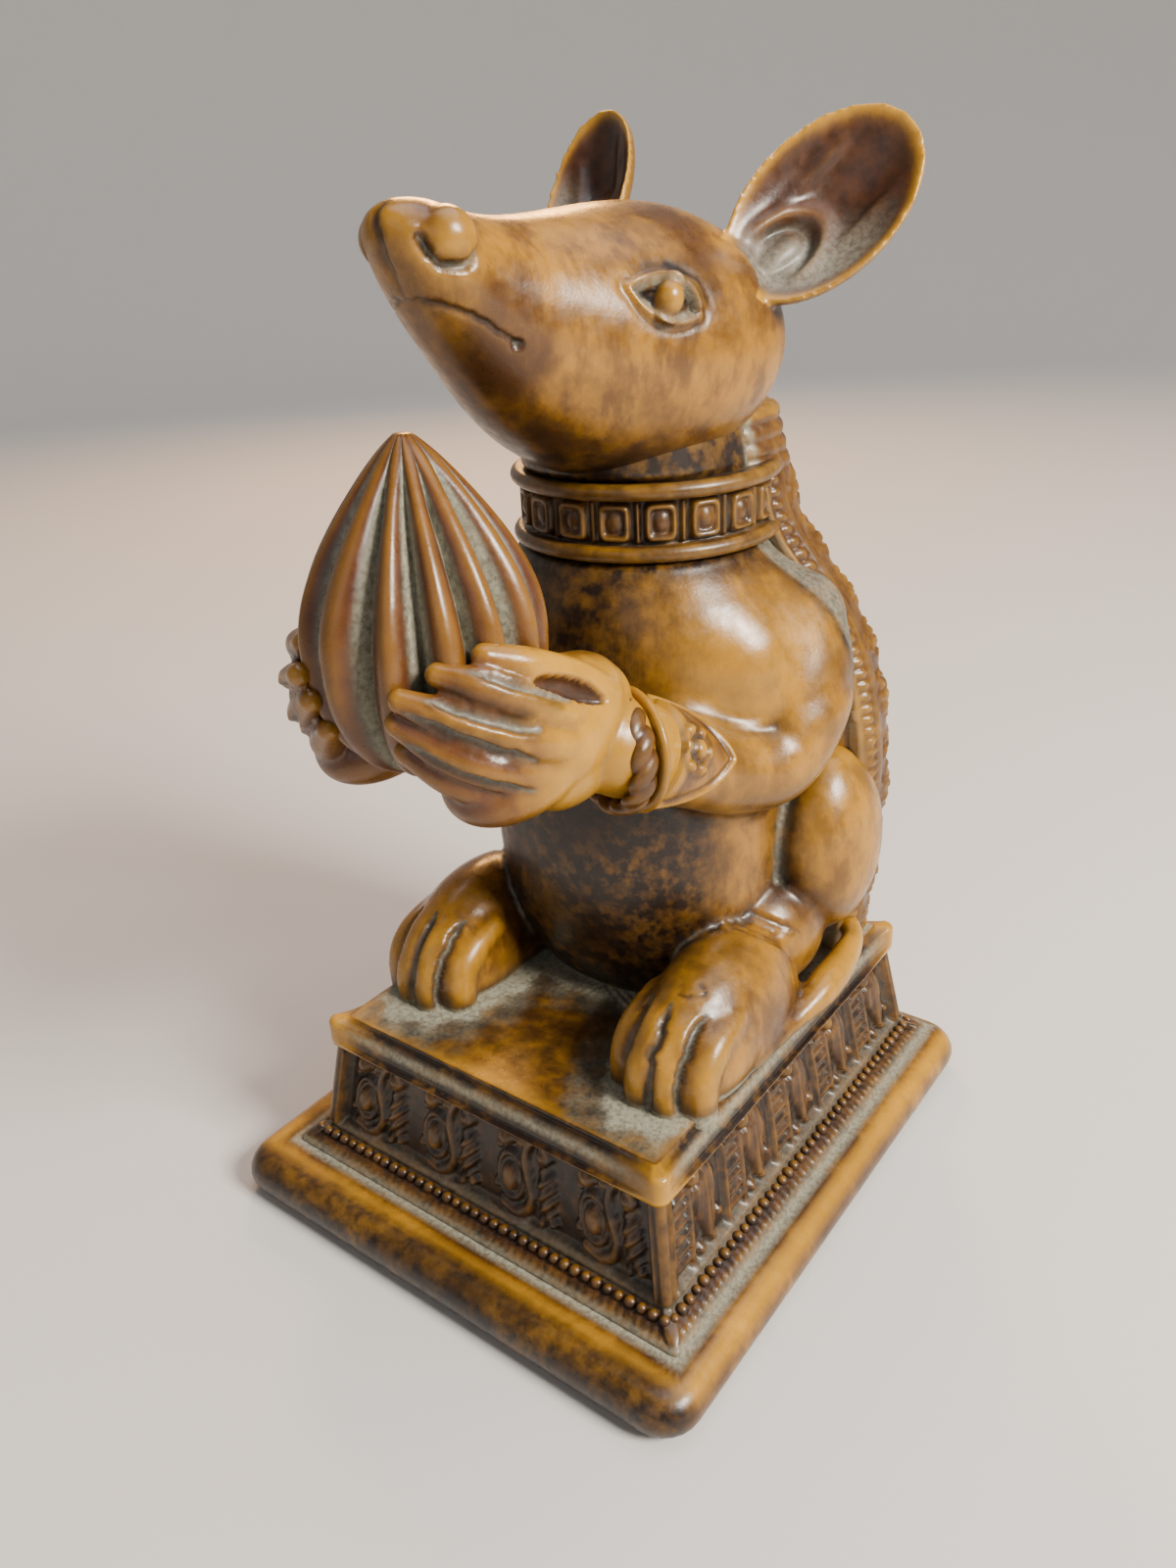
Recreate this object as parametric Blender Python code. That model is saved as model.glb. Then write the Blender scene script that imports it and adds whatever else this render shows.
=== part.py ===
"""Seated mouse holding a ribbed sweet, on a stepped plinth, carved from one block of soapstone.

The mouse faces -Y, its left side is +X, and the origin is the middle of the plinth's underside. Lengths
are millimetres until MM turns them to metres. Forms are added to a lump of clay as closed shapes, which one
voxel remesh joins and smooths. The plinth keeps its straight edges, and is joined to the figure at the end.
"""

import math

import bmesh
import bpy
from mathutils import Matrix, Vector

MM = 0.001

# Plinth: a slab with a bullnose edge, a moulded foot, a carved die that widens downwards, and a top slab.
SLAB_HALF = (29.6, 33.0)
SLAB_HEIGHT = 5.0
SLAB_CORNER = 4.0
SLAB_BULLNOSE = 2.4
TOP_HALF = (21.9, 25.2)
TOP_SHIFT = (0.5, 1.5)
TOP_HEIGHT = 21.0
TOP_THICK = 3.1
TOP_CORNER = 1.2
DIE_TOP_OUT = -0.9
DIE_LOW_OUT = 0.9
FOOT_OUT = 3.5
FOOT_TOP = 7.0
DIE_TOP = TOP_HEIGHT - TOP_THICK
POST_WIDE = 1.4
SCROLLS_FRONT = 4
SCROLLS_SIDE = 5
SCROLL_STEPS = 7
SCROLL_SWING = 1.7
SCROLL_THICK = 1.2

# Collar: its middle, the radius over the rims, the height between the rims and its raised panels.
COLLAR_MIDDLE = (0.0, 9.6, 72.8)
COLLAR_RADIUS = 12.6
COLLAR_HEIGHT = 5.6
COLLAR_RIM = 0.75
COLLAR_PANELS = 18

# Sweet: a teardrop on a vertical axis.
SWEET_MIDDLE_Y = -22.9
SWEET_RADIUS = 10.1
SWEET_BELLY_Z = 67.2
SWEET_TIP_Z = 84.4
SWEET_BOTTOM_Z = 56.5
SWEET_RIBS = 13
SWEET_PHASE = 0.08
SWEET_GROOVE = 0.22

# Left arm and hand as centres with radii. The right one is its mirror image.
ARM = (
    (14.3, 12.8, 61.0, 5.7),
    (16.2, 10.6, 55.0, 6.0),
    (16.4, 6.0, 49.8, 5.0),
    (15.0, 0.0, 50.0, 4.2),
    (13.4, -5.0, 52.3, 4.1),
    (12.4, -11.0, 55.6, 4.6),
)
BRACELET = ((12.3, -11.4, 55.9), (11.6, -13.3, 56.1))
PALMS = (
    ((10.3, -17.2, 59.2), (3.6, 7.4, 5.8)),
    ((9.3, -19.8, 60.4), (4.2, 7.6, 5.4)),
    ((7.6, -21.0, 58.4), (6.0, 8.0, 4.0)),
)
FINGERS = (
    ((12.0, -15.0, 62.4, 1.6), (11.9, -19.0, 65.2, 1.5), (10.8, -23.2, 67.4, 1.4), (9.2, -26.0, 68.6, 1.1)),
    ((12.4, -21.0, 63.2, 1.6), (11.6, -24.6, 65.0, 1.6), (9.9, -27.4, 66.8, 1.5), (7.4, -29.3, 67.9, 1.0)),
    ((12.2, -22.0, 60.6, 1.8), (11.5, -25.8, 62.3, 1.8), (9.0, -29.3, 64.5, 1.6), (5.6, -31.7, 66.3, 1.0)),
    ((11.5, -22.0, 58.0, 1.8), (10.8, -26.2, 59.6, 1.8), (8.2, -29.6, 61.8, 1.6), (4.8, -31.6, 64.2, 1.0)),
    ((10.2, -21.0, 56.2, 1.8), (9.8, -25.2, 57.2, 1.8), (7.3, -28.5, 59.0, 1.6), (4.4, -30.6, 61.4, 1.0)),
)

# Feet and cape.
FEET_SHIFT = 0.7
TOES = ((11.2, -14.8), (13.9, -16.4), (16.7, -16.2), (19.3, -14.8))
CAPE_HEM = 0.9

# Remeshing of the figure.
VOXEL = 0.5
SMOOTH_PASSES = 3
FIGURE_TRIANGLES = 6300
SHORTEST_EDGE = 0.08


def clear_scene():
    for thing in list(bpy.data.objects):
        bpy.data.objects.remove(thing)


def soapstone():
    """Polished brown soapstone."""
    material = bpy.data.materials.new("soapstone")
    material.use_nodes = True
    shader = material.node_tree.nodes["Principled BSDF"]
    shader.inputs["Base Color"].default_value = (0.36, 0.19, 0.065, 1.0)
    shader.inputs["Roughness"].default_value = 0.35
    shader.inputs["Metallic"].default_value = 0.0
    return material


def placed(name, bm):
    """A new object from a bmesh in millimetres."""
    bmesh.ops.scale(bm, vec=(MM, MM, MM), verts=bm.verts)
    mesh = bpy.data.meshes.new(name)
    bm.to_mesh(mesh)
    bm.free()
    thing = bpy.data.objects.new(name, mesh)
    bpy.context.scene.collection.objects.link(thing)
    return thing


def skin(clay, rings):
    """A closed skin over rings of equal length, each end closed by one face, turned to face outwards."""
    rows = [[clay.verts.new(point) for point in ring] for ring in rings]
    count = len(rows[0])
    faces = [clay.faces.new(rows[0]), clay.faces.new(list(reversed(rows[-1])))]
    for low, high in zip(rows, rows[1:]):
        for i in range(count):
            j = (i + 1) % count
            faces.append(clay.faces.new((low[j], low[i], high[i], high[j])))
    bmesh.ops.recalc_face_normals(clay, faces=faces)


def oval(centre, half_a, half_b, axis_a, axis_b, power=2.0, points=32):
    """Points round a superellipse, a plain ellipse at power 2 and squarer above it."""
    ring = []
    for i in range(points):
        angle = 2 * math.pi * i / points
        c, s = math.cos(angle), math.sin(angle)
        a = half_a * math.copysign(abs(c) ** (2 / power), c)
        b = half_b * math.copysign(abs(s) ** (2 / power), s)
        ring.append(Vector(centre) + Vector(axis_a) * a + Vector(axis_b) * b)
    return ring


def stacked(clay, rows, power=2.0):
    """A form of flat ovals at rising heights: each row is height, half-width, front y and back y."""
    rings = []
    for z, half_width, front, back in rows:
        centre = (0, (front + back) / 2, z)
        rings.append(oval(centre, half_width, (back - front) / 2, (1, 0, 0), (0, 1, 0), power))
    skin(clay, rings)


def ball(clay, centre, radii, turn=(0, 0, 0)):
    """An ellipsoid, turned by angles in degrees about X, Y and Z."""
    rx, ry, rz = (math.radians(a) for a in turn)
    matrix = (
        Matrix.Translation(centre)
        @ Matrix.Rotation(rz, 4, "Z")
        @ Matrix.Rotation(ry, 4, "Y")
        @ Matrix.Rotation(rx, 4, "X")
        @ Matrix.Diagonal((*radii, 1))
    )
    bmesh.ops.create_uvsphere(clay, u_segments=32, v_segments=16, radius=1.0, matrix=matrix)


def smooth_path(points, steps=6):
    """A curve through the points, each given as x, y, z and radius."""
    knots = [Vector(p) for p in points]
    knots = [2 * knots[0] - knots[1], *knots, 2 * knots[-1] - knots[-2]]
    path = []
    for a, b, c, d in zip(knots, knots[1:], knots[2:], knots[3:]):
        for i in range(steps):
            t = i / steps
            bend = (2 * a - 5 * b + 4 * c - d) * t**2 + (3 * b - a - 3 * c + d) * t**3
            path.append(0.5 * (2 * b + (c - a) * t + bend))
    path.append(knots[-2])
    return path


def limb(clay, points, sides=16):
    """A round limb through the points, with a ball at each end."""
    path = smooth_path(points)
    rings = []
    for i, knot in enumerate(path):
        before, after = path[max(i - 1, 0)], path[min(i + 1, len(path) - 1)]
        along = (after.xyz - before.xyz).normalized()
        side = along.cross(Vector((0.31, 0.17, 0.93))).normalized()
        rings.append(oval(knot.xyz, knot.w, knot.w, side, along.cross(side), points=sides))
    skin(clay, rings)
    for end in (path[0], path[-1]):
        ball(clay, end.xyz, (end.w, end.w, end.w))


def mirrored(points):
    """The same points on the mouse's right side."""
    return [(-p[0], *p[1:]) for p in points]


def torso(clay):
    """Belly, chest and neck, from the plinth up into the head."""
    rows = (
        (20.0, 14.5, -1.5, 24.0),
        (25.0, 15.6, -4.6, 25.0),
        (31.0, 16.0, -6.8, 26.0),
        (37.0, 16.2, -7.8, 26.0),
        (43.0, 16.0, -7.8, 26.5),
        (49.0, 15.8, -7.2, 26.5),
        (55.0, 16.4, -6.6, 26.0),
        (60.0, 17.2, -6.2, 25.0),
        (64.0, 16.4, -5.4, 24.0),
        (67.0, 14.0, -4.2, 22.6),
        (70.0, 11.8, -3.0, 21.4),
        (80.0, 10.6, -3.0, 19.4),
    )
    stacked(clay, rows, power=2.2)


def cape(clay):
    """A broad stiff cloth from the collar down the back to the plinth, in front flush with the arms."""
    rows = (
        (18.8, 18.9, 15.0, 25.2),
        (21.8, 19.6, 15.0, 27.1),
        (30.0, 20.5, 15.0, 27.6),
        (40.0, 21.0, 15.0, 28.0),
        (50.0, 20.5, 15.0, 27.5),
        (58.0, 18.5, 14.0, 26.2),
        (64.0, 15.6, 12.0, 24.6),
        (70.0, 12.4, 10.0, 22.4),
        (76.0, 11.4, 8.0, 21.0),
        (81.0, 10.4, 7.0, 20.2),
    )
    stacked(clay, rows, power=3.0)
    for side in (-1, 1):
        hem = [(side * (half_width - 0.6), back - 2.6, z, CAPE_HEM) for z, half_width, _, back in rows[1:7]]
        limb(clay, hem, sides=8)
    z, half_width, _, back = rows[1]
    low_hem = [(x * (half_width - 1.6), back - 0.5, z + 0.3, CAPE_HEM) for x in (-1, -0.5, 0, 0.5, 1)]
    limb(clay, low_hem, sides=8)


def head(clay):
    """Upright ovals from the nose to the back of the skull: y, top, bottom, half-width."""
    rows = (
        (-23.2, 98.6, 97.0, 0.9),
        (-22.6, 99.3, 95.9, 2.2),
        (-21.0, 99.8, 93.2, 3.5),
        (-18.5, 99.7, 89.8, 4.6),
        (-15.5, 98.9, 86.3, 5.4),
        (-11.5, 98.4, 82.2, 7.0),
        (-7.0, 98.4, 79.0, 9.2),
        (-2.0, 98.7, 76.8, 11.6),
        (3.0, 99.0, 75.6, 13.4),
        (8.0, 98.9, 75.6, 14.2),
        (12.5, 97.4, 77.0, 13.4),
        (16.5, 94.4, 79.5, 10.8),
        (19.0, 91.0, 82.8, 7.0),
        (20.2, 88.2, 85.8, 2.6),
    )
    rings = []
    for y, top, bottom, half_width in rows:
        centre = (0, y, (top + bottom) / 2)
        rings.append(oval(centre, half_width, (top - bottom) / 2, (1, 0, 0), (0, 0, 1)))
    skin(clay, rings)
    for side in (-1, 1):
        ball(clay, (side * 2.7, -19.0, 97.0), (2.2, 2.4, 2.3))
        ball(clay, (side * 10.6, -1.8, 91.6), (1.3, 3.2, 2.1), turn=(0, 0, -side * 24))


def ear(clay, root, tip, facing, half_width=6.8, depth=3.0, wall=1.3, rings=5):
    """A dished oval, hollow on the side that faces forwards."""
    root, tip, facing = Vector(root), Vector(tip), Vector(facing)
    along = tip - root
    half_length = along.length / 2
    along.normalize()
    facing = (facing - along * facing.dot(along)).normalized()
    across = along.cross(facing)
    centre = (root + tip) / 2
    rows = []
    for back in (0, 1):
        for i in range(rings + 1):
            share = (i + 0.35) / (rings + 0.35)
            hollow = depth * (1 - share**2) + back * wall
            middle = centre - facing * hollow
            rows.append(oval(middle, half_length * share, half_width * share, along, across, points=24))
        if back:
            rows[rings + 1 :] = reversed(rows[rings + 1 :])
    skin(clay, rows)


def ears(clay):
    ear(clay, (11.4, 7.4, 91.8), (21.4, 18.8, 104.2), (0.45, -0.78, 0.43), half_width=6.3)
    ear(clay, (-9.0, 11.0, 93.6), (-13.6, 22.4, 107.4), (-0.1, -0.9, 0.43), half_width=5.2)
    for side in (-1, 1):
        ball(clay, (side * 9.8, 10.2, 93.0), (2.6, 2.8, 3.2))


def collar(clay):
    """A band between two raised rims, with a row of raised panels round it."""
    x, y, z = COLLAR_MIDDLE
    band = COLLAR_RADIUS - 0.7
    stacked(
        clay,
        [(z + step * COLLAR_HEIGHT / 2, band, y - band, y + band) for step in (-1, 1)],
    )
    for step in (-1, 1):
        level = z + step * COLLAR_HEIGHT / 2
        rim = [
            (x + COLLAR_RADIUS * math.cos(a), y + COLLAR_RADIUS * math.sin(a), level, COLLAR_RIM)
            for a in (2 * math.pi * i / 24 for i in range(25))
        ]
        limb(clay, rim, sides=10)
    for i in range(COLLAR_PANELS):
        angle = 2 * math.pi * (i + 0.5) / COLLAR_PANELS
        out = Vector((math.cos(angle), math.sin(angle), 0))
        centre = Vector((x, y, z)) + out * band
        across = Vector((0, 0, 1)).cross(out)
        rings = [
            oval(centre + out * depth, 1.7, 1.45, across, (0, 0, 1), power=6, points=16)
            for depth in (-1.0, 0.75)
        ]
        skin(clay, rings)


def arms(clay):
    """Each arm from the shoulder to the wrist, two bracelet rings, the hand and its five digits."""
    for side in (-1, 1):
        flip = mirrored if side < 0 else list
        limb(clay, flip(ARM))
        ball(clay, (side * 9.8, 7.4, 59.2), (8.0, 9.0, 8.2))
        for centre in flip(BRACELET):
            ball(clay, centre, (5.4, 1.15, 5.6), turn=(-5, 0, -side * 22))
        for (x, y, z), radii in PALMS:
            ball(clay, (side * x, y, z), radii, turn=(20, 0, 0))
        for digit in FINGERS:
            limb(clay, flip(digit), sides=10)


def sweet(clay, rows=22, steps=6):
    """A ribbed teardrop: a pointed top over a round belly, with a rounded groove between each two ribs."""
    rings = []
    points = SWEET_RIBS * steps
    for k in range(rows + 1):
        angle = math.pi * (0.03 + 0.94 * k / rows)
        if angle < math.pi / 2:
            z = SWEET_BELLY_Z - (SWEET_BELLY_Z - SWEET_BOTTOM_Z) * math.cos(angle)
            reach = math.sin(angle) ** 0.8
        else:
            fall = (angle - math.pi / 2) / (math.pi / 2)
            z = SWEET_BELLY_Z + (SWEET_TIP_Z - SWEET_BELLY_Z) * fall
            reach = math.sin(math.pi / 2 * (1 - fall)) ** 1.1 + 0.12 * fall * (1 - fall**12)
        ring = []
        for i in range(points):
            turn = 2 * math.pi * i / points
            rib = abs(math.sin(turn * SWEET_RIBS / 2)) ** 0.8
            radius = SWEET_RADIUS * reach * (1 - SWEET_GROOVE * (1 - rib))
            turn += SWEET_PHASE
            ring.append((radius * math.cos(turn), SWEET_MIDDLE_Y + radius * math.sin(turn), z))
        rings.append(ring)
    skin(clay, rings)


def legs(clay):
    """Haunch, ankle, foot and four toes on each side."""
    for side in (-1, 1):
        ball(clay, (side * 17.7, 15.8, 36.2), (5.9, 7.6, 10.7))
        ball(clay, (side * 14.0, 9.0, 27.5), (6.5, 8.0, 7.0))
        ball(clay, (FEET_SHIFT + side * 15.4, -2.8, 24.6), (6.1, 11.8, 8.2), turn=(-6, 0, 0))
        ball(clay, (FEET_SHIFT + side * 15.3, -7.4, 24.2), (6.2, 9.2, 7.0))
        for across, tip in TOES:
            x = FEET_SHIFT + side * across
            toe = (
                (x, tip + 7.0, 28.6, 1.8),
                (x, tip + 3.4, 27.0, 1.9),
                (x, tip + 1.4, 24.4, 1.8),
                (x, tip + 1.2, 21.4, 1.7),
            )
            limb(clay, toe, sides=10)


def tail(clay):
    """The tail comes round from under the cape and lies along the edge of the top slab."""
    route = (
        (15.0, 22.0, 24.0, 2.0),
        (20.6, 18.0, 24.4, 1.7),
        (22.4, 12.5, 24.4, 2.3),
        (22.6, 7.0, 23.9, 2.4),
        (22.0, 1.5, 22.5, 1.3),
        (21.4, -5.5, 21.8, 0.9),
    )
    limb(clay, route)


def rounded_rectangle(half_x, half_y, centre, corner, z, steps=4):
    """Points round a level rectangle with rounded corners."""
    ring = []
    for quarter, (sx, sy) in enumerate(((1, 1), (-1, 1), (-1, -1), (1, -1))):
        middle = (centre[0] + sx * (half_x - corner), centre[1] + sy * (half_y - corner))
        for i in range(steps + 1):
            angle = math.pi / 2 * (quarter + i / steps)
            ring.append((middle[0] + corner * math.cos(angle), middle[1] + corner * math.sin(angle), z))
    return ring


def die_half(axis, share=0.0):
    """Half the size of the carved die along X or Y, at a share of its height."""
    return TOP_HALF[axis] + DIE_LOW_OUT + (DIE_TOP_OUT - DIE_LOW_OUT) * share


def plinth_rings(steps=4):
    """Level rings of the plinth from the floor up: slab, foot moulding, die and top slab."""
    edge = []
    for i in range(steps + 1):
        angle = math.pi / 2 * i / steps
        edge.append((SLAB_BULLNOSE * (1 - math.sin(angle)), SLAB_BULLNOSE * (1 - math.cos(angle))))
    edge += [(inset, SLAB_HEIGHT - z) for inset, z in reversed(edge)]
    for inset, z in edge:
        yield rounded_rectangle(SLAB_HALF[0] - inset, SLAB_HALF[1] - inset, (0, 0), SLAB_CORNER - inset, z)
    foot = [half + FOOT_OUT for half in TOP_HALF]
    low, high = ([die_half(axis, share) for axis in (0, 1)] for share in (0, 1))
    rows = (
        (foot, SLAB_HEIGHT, 0.6),
        (foot, SLAB_HEIGHT + 0.5, 0.6),
        ([h + 0.8 for h in low], FOOT_TOP - 0.3, 0.6),
        (low, FOOT_TOP, 0.6),
        (high, DIE_TOP - 0.3, 0.6),
        ([h - 0.5 for h in TOP_HALF], DIE_TOP, TOP_CORNER - 0.5),
        (TOP_HALF, DIE_TOP + 0.4, TOP_CORNER),
        (TOP_HALF, DIE_TOP + 0.8, TOP_CORNER),
        ([h - 0.5 for h in TOP_HALF], DIE_TOP + 1.2, TOP_CORNER - 0.5),
        ([h - 0.5 for h in TOP_HALF], DIE_TOP + 1.8, TOP_CORNER - 0.5),
        (TOP_HALF, DIE_TOP + 2.2, TOP_CORNER),
        (TOP_HALF, TOP_HEIGHT - 0.6, TOP_CORNER),
        ([h - 0.6 for h in TOP_HALF], TOP_HEIGHT, TOP_CORNER - 0.6),
    )
    for half, z, corner in rows:
        yield rounded_rectangle(half[0], half[1], TOP_SHIFT, corner, z)


def scroll(clay, place, across, out):
    """One S-shaped scroll that stands on the sloping die between its foot and the top slab."""
    height = DIE_TOP - FOOT_TOP - 1.6
    knots = []
    for i in range(SCROLL_STEPS + 1):
        share = i / SCROLL_STEPS
        swing = SCROLL_SWING * math.sin(2 * math.pi * share)
        lean = (DIE_TOP_OUT - DIE_LOW_OUT) * (0.1 + 0.8 * share)
        knots.append(place + across * swing + out * lean + Vector((0, 0, 0.8 + height * share)))
    rings = []
    for i, knot in enumerate(knots):
        before, after = knots[max(i - 1, 0)], knots[min(i + 1, SCROLL_STEPS)]
        along = (after - before).normalized()
        rings.append(oval(knot, SCROLL_THICK, SCROLL_THICK, out, along.cross(out), points=6))
    skin(clay, rings)


def relief(clay):
    """The scrolls on the four faces of the die, and a plain post at each corner."""
    for axis, count in ((0, SCROLLS_FRONT), (1, SCROLLS_SIDE)):
        across = Vector((1, 0, 0)) if axis == 0 else Vector((0, 1, 0))
        out = Vector((0, 1, 0)) if axis == 0 else Vector((1, 0, 0))
        length = 2 * die_half(axis, 0.5) - 2 * POST_WIDE
        for face in (-1, 1):
            foot = Vector((*TOP_SHIFT, FOOT_TOP)) + out * face * die_half(1 - axis)
            for i in range(count):
                along = length * ((i + 0.5) / count - 0.5)
                scroll(clay, foot + across * along, across, out * face)
    for sx in (-1, 1):
        for sy in (-1, 1):
            rings = []
            for share, z in ((0, FOOT_TOP - 0.4), (1, DIE_TOP + 0.3)):
                reach = [die_half(axis, share) - POST_WIDE / 2 + 0.45 for axis in (0, 1)]
                middle = (TOP_SHIFT[0] + sx * reach[0], TOP_SHIFT[1] + sy * reach[1])
                rings.append(rounded_rectangle(POST_WIDE / 2, POST_WIDE / 2, middle, 0.5, z, steps=1))
            skin(clay, rings)


def close_short_edges(stone, limit):
    """Closes up the very short edges that the joins leave, where the mesh of triangles stays closed."""
    closed = True
    while closed:
        closed = False
        for edge in sorted(stone.edges, key=lambda e: e.calc_length()):
            if not edge.is_valid or edge.calc_length() > limit:
                continue
            a, b = edge.verts
            shared = {e.other_vert(a) for e in a.link_edges} & {e.other_vert(b) for e in b.link_edges}
            if len(shared) == 2:
                bmesh.ops.pointmerge(stone, verts=[a, b], merge_co=(a.co + b.co) / 2)
                closed = True


def build():
    """The figure as remeshed clay, with the crisp plinth and its scrolls joined to it."""
    clear_scene()
    material = soapstone()

    clay = bmesh.new()
    for form in (torso, cape, head, ears, collar, arms, sweet, legs, tail):
        form(clay)
    figure = placed("mouse_figurine", clay)
    remesh = figure.modifiers.new("join", "REMESH")
    remesh.mode = "VOXEL"
    remesh.voxel_size = VOXEL * MM
    smooth = figure.modifiers.new("polish", "SMOOTH")
    smooth.factor = 0.5
    smooth.iterations = SMOOTH_PASSES
    graph = bpy.context.evaluated_depsgraph_get()
    fine = len(figure.evaluated_get(graph).data.polygons) * 2
    thin = figure.modifiers.new("facet", "DECIMATE")
    thin.ratio = FIGURE_TRIANGLES / fine
    thin.use_collapse_triangulate = True

    base = bmesh.new()
    skin(base, list(plinth_rings()))
    plinth = placed("plinth_form", base)
    carving = bmesh.new()
    relief(carving)
    scrolls = placed("scroll_forms", carving)
    for helper in (plinth, scrolls):
        union = figure.modifiers.new("with_" + helper.name, "BOOLEAN")
        union.operation = "UNION"
        union.solver = "EXACT"
        union.object = helper
    facets = figure.modifiers.new("facets", "TRIANGULATE")
    facets.ngon_method = "BEAUTY"

    graph = bpy.context.evaluated_depsgraph_get()
    stone = bmesh.new()
    stone.from_mesh(figure.evaluated_get(graph).data)
    close_short_edges(stone, SHORTEST_EDGE * MM)
    figure.modifiers.clear()
    stone.to_mesh(figure.data)
    stone.free()
    for helper in (plinth, scrolls):
        bpy.data.objects.remove(helper)
    figure.data.materials.append(material)


build()
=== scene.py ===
# A seated mouse that holds a ribbed sweet, on a stepped plinth: one block of carved and polished soapstone.
# It is modelled as assembled from below: plinth, body, cape, collar, head, sweet and hands. Lengths are
# millimetres until a mesh is made, and the mouse faces -Y with its left side towards +X.
import math

import bmesh
import bpy
import numpy as np
from mathutils import Matrix, Vector


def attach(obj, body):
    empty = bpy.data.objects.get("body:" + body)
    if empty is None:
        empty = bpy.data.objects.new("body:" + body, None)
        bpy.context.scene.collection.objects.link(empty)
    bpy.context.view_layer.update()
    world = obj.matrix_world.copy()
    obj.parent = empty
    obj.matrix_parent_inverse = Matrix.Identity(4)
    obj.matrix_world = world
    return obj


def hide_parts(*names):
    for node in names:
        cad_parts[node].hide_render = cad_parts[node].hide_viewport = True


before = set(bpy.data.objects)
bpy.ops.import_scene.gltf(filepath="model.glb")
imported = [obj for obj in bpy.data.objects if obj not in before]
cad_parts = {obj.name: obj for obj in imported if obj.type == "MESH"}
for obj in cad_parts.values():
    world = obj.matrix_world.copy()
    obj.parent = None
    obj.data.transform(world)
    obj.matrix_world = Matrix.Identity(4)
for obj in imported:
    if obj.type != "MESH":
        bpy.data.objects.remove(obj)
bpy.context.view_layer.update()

MM = 0.001


# Stone.
# The block is a honey-brown soapstone, polished to a soft wax shine. Its recesses are stained dark brown,
# its raised edges are rubbed lighter, and grey-green dust has settled in the creases. The same dark mark
# also paints shade: on undersides, under the jaw and brows, on the chest, belly, neck and near foot, in
# the arm creases, round the haunches, below the beads and on the plinth slab's front and lower edge.


def colour(text):
    """A linear colour from an sRGB hex code."""
    parts = [int(text[i : i + 2], 16) / 255 for i in (0, 2, 4)]
    return (*(c / 12.92 if c <= 0.04045 else ((c + 0.055) / 1.055) ** 2.4 for c in parts), 1.0)


def add(tree, kind, settings=None, **inputs):
    """A new node. A value is a constant, an output socket is linked, and i3 is the input with number 3."""
    prefix = {"SHADER": "ShaderNode", "GEOMETRY": "GeometryNode"}[tree.type]
    if kind.startswith(("Node", "Function")):
        prefix = ""
    node = tree.nodes.new(prefix + kind)
    for name, value in (settings or {}).items():
        setattr(node, name, value)
    for name, value in inputs.items():
        numbered = name[0] == "i" and name[1:].isdigit()
        socket = node.inputs[int(name[1:]) if numbered else name.replace("_", " ")]
        if isinstance(value, bpy.types.NodeSocket):
            tree.links.new(value, socket)
        else:
            socket.default_value = value
    return node


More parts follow.
